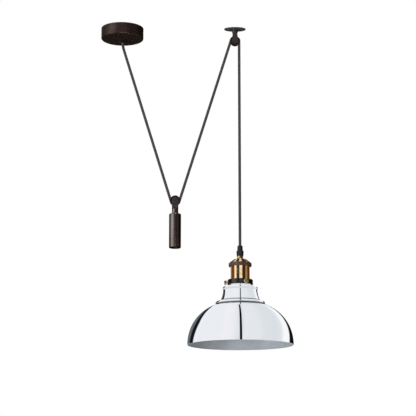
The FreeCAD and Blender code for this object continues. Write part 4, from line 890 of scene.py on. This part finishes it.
@dataclass
class Studio:
    """White tent with a seam, dark curtains behind, rows of panels, a soft lamp, floor, camera."""

    camera_place: Place = (0.2198, -3.3876, -1.1587)
    camera_rise: float = 11.495         # degrees above the horizon
    lens: float = 119.53
    sensor: float = 36.0
    floor: float = -1.9
    floor_half: float = 4.0
    floor_colour: str = "#d8d8d8"
    floor_roughness: float = 0.9
    lamp_place: Place = (-1.9, -3.0, -1.4)
    lamp_aim: Place = (0.2, 0.0, -0.5)
    lamp_size: float = 1.4
    lamp_power: float = 80.0

    # the tent as metal mirrors it; how far up and how far ahead a direction points are sines
    far_end: Point = (0.9934, 0.115)    # ahead and up of the tent's far end
    seam_half: float = 0.0205           # half the seam's width, as a tangent
    seam_soft: float = 0.004            # how soft its edges are
    seam_colour: str = "#070709"
    lean_heights: Point = (0.12, 0.5)   # the curtains lean to the right between these
    lean: Point = (0.028, 0.022)        # by this much, on the left and on the right
    meeting: Point = (0.95, 0.975)      # the curtains meet this far ahead
    meeting_colour: str = "#101216"
    floor_line: Point = (0.05, 0.0)     # they stand on a pale floor, which starts here
    pale_floor: str = "#d9dde1"
    dark_end: Point = (0.55, 0.75)      # satin metal sees a dark far end this far ahead
    dark_end_line: Point = (0.10, 0.02)     # and only below this
    dark_end_colour: str = "#1c1412"

    # the cloth from left to right, as polished sheet shows it, with dark curtains at both ends
    cloth: Stops = (
        (0.0, "#6c737a"), (0.02, "#5f666e"), (0.026, "#101216"), (0.052, "#15181e"),
        (0.058, "#f2f5fa"), (0.10, "#eef1f5"), (0.25, "#edf0f4"), (0.33, "#f3f2f7"),
        (0.40, "#eff0f4"), (0.44, "#e8ebf0"), (0.485, "#d9dfe3"), (0.515, "#e8ecef"),
        (0.65, "#e6eaee"), (0.72, "#dfe4e8"), (0.82, "#dce2e6"), (0.87, "#e2e7eb"),
        (0.90, "#fbfcfd"), (0.950, "#fbfcfd"), (0.958, "#0c0b10"), (1.0, "#0a090c"))
    # the low panels, which polished brass shows
    low_panels: Stops = (
        (0.0, "#b7a892"), (0.04, "#a88a64"), (0.07, "#70461f"), (0.19, "#5a3212"),
        (0.205, "#f0e0c8"), (0.222, "#fffdf8"), (0.290, "#fff6ea"), (0.31, "#86694a"),
        (0.335, "#180a00"), (0.40, "#1c0e02"), (0.44, "#3c2c16"), (0.462, "#e0d8c8"),
        (0.49, "#ffffff"), (0.585, "#ffffff"), (0.61, "#857658"), (0.64, "#2c1a06"),
        (0.75, "#36200c"), (0.775, "#9a8058"), (0.85, "#b08c60"), (0.88, "#582f12"),
        (0.95, "#3c2810"), (0.985, "#8a7a68"))
    # the other panels, which dark bronze shows
    high_panels: Stops = (
        (0.0, "#5c5856"), (0.10, "#5c5856"), (0.16, "#b8b4b2"), (0.19, "#ffffff"),
        (0.34, "#ffffff"), (0.39, "#b4acaa"), (0.43, "#786a6a"), (0.52, "#786a6a"),
        (0.555, "#3e3234"), (0.60, "#3e3234"), (0.66, "#5c4e50"), (0.74, "#5c4e50"),
        (0.82, "#362b26"), (0.90, "#100c08"), (1.0, "#080605"))
    # the rows from straight down to straight up: black for low panels, white for high ones
    rows: Stops = (
        (0.0, "#000000"), (0.522, "#000000"), (0.525, "#ffffff"), (0.566, "#ffffff"),
        (0.568, "#000000"), (0.583, "#000000"), (0.585, "#ffffff"), (0.70, "#ffffff"),
        (0.72, "#000000"), (1.0, "#000000"))
    # even light for everything dull, from straight down to straight up
    even: Stops = ((0.0, "#9a9a9c"), (0.45, "#a2a2a4"), (0.55, "#b4b4b6"), (1.0, "#bcbcbe"))

    def across(self, tree: Tree) -> tuple[Socket, Socket, Socket, Socket]:
        """Places in the tent, told from its far end.

        Args:
            tree: the world's node tree.

        Returns:
            The place from left to right as 0 to 1, its tangent, and how far up and how far
            ahead the direction points, as sines.
        """
        way = add(tree, "TexCoord").outputs["Generated"]
        past = add(tree, "VectorMath", {0: way, 1: (0.0, *self.far_end)},
                   operation="SUBTRACT").outputs[0]
        flat = add(tree, "VectorMath", {0: past, 1: (1.0, 1.0, 0.0)}, operation="MULTIPLY").outputs[0]
        unit = add(tree, "VectorMath", {0: flat}, operation="NORMALIZE").outputs[0]
        side, depth = add(tree, "SeparateXYZ", {0: unit}).outputs[0:2]
        place = add(tree, "MapRange", {0: side, 1: -1.0, 2: 1.0}).outputs[0]
        tangent = add(tree, "Math", {0: side, 1: depth}, operation="DIVIDE").outputs[0]
        ahead, up = add(tree, "SeparateXYZ", {0: way}).outputs[1:3]
        return place, tangent, up, ahead

    def tent(self, tree: Tree) -> tuple[Socket, Socket, Socket]:
        """Colours of the tent in every direction.

        Args:
            tree: the world's node tree.

        Returns:
            What polished sheet mirrors, what satin metal mirrors, and the even light.
        """
        place, tangent, up, ahead = self.across(tree)
        off = add(tree, "Math", {0: tangent}, operation="ABSOLUTE").outputs[0]
        seam = add(tree, "MapRange", {0: off, 1: self.seam_half,
                                      2: self.seam_half + self.seam_soft}).outputs[0]
        climb = add(tree, "MapRange", {0: up, 1: self.lean_heights[0],
                                       2: self.lean_heights[1]}).outputs[0]
        pull = add(tree, "MapRange", {0: place, 3: self.lean[0], 4: self.lean[1]}).outputs[0]
        pull = add(tree, "Math", {0: climb, 1: pull}, operation="MULTIPLY").outputs[0]
        pulled = add(tree, "Math", {0: place, 1: pull}, operation="SUBTRACT").outputs[0]
        sheet = add(tree, "ValToRGB", {0: pulled}, stops=self.cloth).outputs[0]
        cloth = add(tree, "Mix", {0: seam, 6: linear(self.seam_colour), 7: sheet},
                    data_type="RGBA").outputs[2]
        for value, edges, colour in ((ahead, self.meeting, self.meeting_colour),
                                     (up, self.floor_line, self.pale_floor)):
            part = add(tree, "MapRange", {0: value, 1: edges[0], 2: edges[1]}).outputs[0]
            cloth = add(tree, "Mix", {0: part, 6: cloth, 7: linear(colour)},
                        data_type="RGBA").outputs[2]
        height = add(tree, "MapRange", {0: up, 1: -1.0, 2: 1.0}).outputs[0]
        row, low, high, even = (add(tree, "ValToRGB", {0: value}, stops=stops).outputs[0]
                                for value, stops in ((height, self.rows), (place, self.low_panels),
                                                     (place, self.high_panels), (height, self.even)))
        panels = add(tree, "Mix", {0: row, 6: low, 7: high}, data_type="RGBA").outputs[2]
        end, below = (add(tree, "MapRange", {0: value, 1: edges[0], 2: edges[1]}).outputs[0]
                      for value, edges in ((ahead, self.dark_end), (up, self.dark_end_line)))
        dark = add(tree, "Math", {0: end, 1: below}, operation="MULTIPLY").outputs[0]
        panels = add(tree, "Mix", {0: dark, 6: panels, 7: linear(self.dark_end_colour)},
                     data_type="RGBA").outputs[2]
        return cloth, panels, even

    def light(self) -> None:
        """The world: plain white to the camera, the tent to metal, even light to all else."""
        world = bpy.data.worlds.new("tent")
        bpy.context.scene.world = world
        world.use_nodes = True
        tree = world.node_tree
        tree.nodes.clear()
        path = add(tree, "LightPath")
        cloth, panels, seen = self.tent(tree)
        for ray, colour in (("Is Glossy Ray", panels), ("Is Transmission Ray", cloth),
                            ("Is Singular Ray", cloth), ("Is Camera Ray", (1.0, 1.0, 1.0, 1.0))):
            seen = add(tree, "Mix", {0: path.outputs[ray], 6: seen, 7: colour},
                       data_type="RGBA").outputs[2]
        back = add(tree, "Background", {"Color": seen, "Strength": 1.0})
        add(tree, "OutputWorld", {"Surface": back.outputs[0]})

    def lamp(self) -> None:
        """A large soft lamp on the left in front."""
        data = bpy.data.lights.new("soft_lamp", "AREA")
        data.size = self.lamp_size
        data.energy = self.lamp_power
        piece = bpy.data.objects.new("soft_lamp", data)
        piece.location = self.lamp_place
        aim = Vector(self.lamp_aim) - piece.location
        piece.rotation_euler = aim.to_track_quat("-Z", "Y").to_euler()
        piece.visible_glossy = False
        bpy.context.scene.collection.objects.link(piece)

    def ground(self) -> None:
        """A pale floor far below, white where the camera sees it."""
        mesh = bpy.data.meshes.new("floor")
        half = self.floor_half
        mesh.from_pydata([(-half, -half, self.floor), (half, -half, self.floor),
                          (half, half, self.floor), (-half, half, self.floor)], [], [(0, 1, 2, 3)])
        material = bpy.data.materials.new("pale_floor")
        material.use_nodes = True
        tree = material.node_tree
        surface = tree.nodes["Principled BSDF"]
        surface.inputs["Base Color"].default_value = linear(self.floor_colour)
        surface.inputs["Roughness"].default_value = self.floor_roughness
        seen = add(tree, "LightPath").outputs["Is Camera Ray"]
        white = add(tree, "Emission", {"Strength": 1.0}).outputs[0]
        mixed = add(tree, "MixShader", {0: seen, 1: surface.outputs[0], 2: white}).outputs[0]
        tree.links.new(mixed, tree.nodes["Material Output"].inputs["Surface"])
        floor = stand("floor", mesh, [material])
        floor.visible_glossy = False    # metal mirrors the tent's own pale floor

    def camera(self) -> None:
        """A long lens that looks slightly up, as the photograph was taken."""
        data = bpy.data.cameras.new("camera")
        data.lens = self.lens
        data.sensor_width = self.sensor
        piece = bpy.data.objects.new("camera", data)
        piece.location = self.camera_place
        piece.rotation_euler = (math.radians(90 + self.camera_rise), 0.0, 0.0)
        bpy.context.scene.collection.objects.link(piece)
        bpy.context.scene.camera = piece

    def make(self) -> None:
        """Set up light, floor and camera."""
        bpy.context.scene.view_settings.view_transform = "Standard"
        self.light()
        self.lamp()
        self.ground()
        self.camera()
        LOG.info("studio ready")


def main() -> None:
    """Build every piece in order."""
    logging.basicConfig(level=logging.INFO, format="%(message)s")
    for name in ("Cube", "Light", "Camera"):
        if name in bpy.data.objects:
            bpy.data.objects.remove(bpy.data.objects[name])
    Studio().make()
    Cord().make(BRAID.build())
    holder = Lampholder()
    for assembly in (Canopy(), CeilingPulley(), Counterweight(), holder):
        assembly.dress()
    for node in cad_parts.values():    # the polished dome mirrors the tent alone
        node.visible_glossy = False
    Shade().make(MIRROR.build(), SATIN_INSIDE.build(), BEAD_PAINTED_REFLECTION.build())
    holder.shell(POLISHED_BRASS.build())


if __name__ == "__main__":
    main()
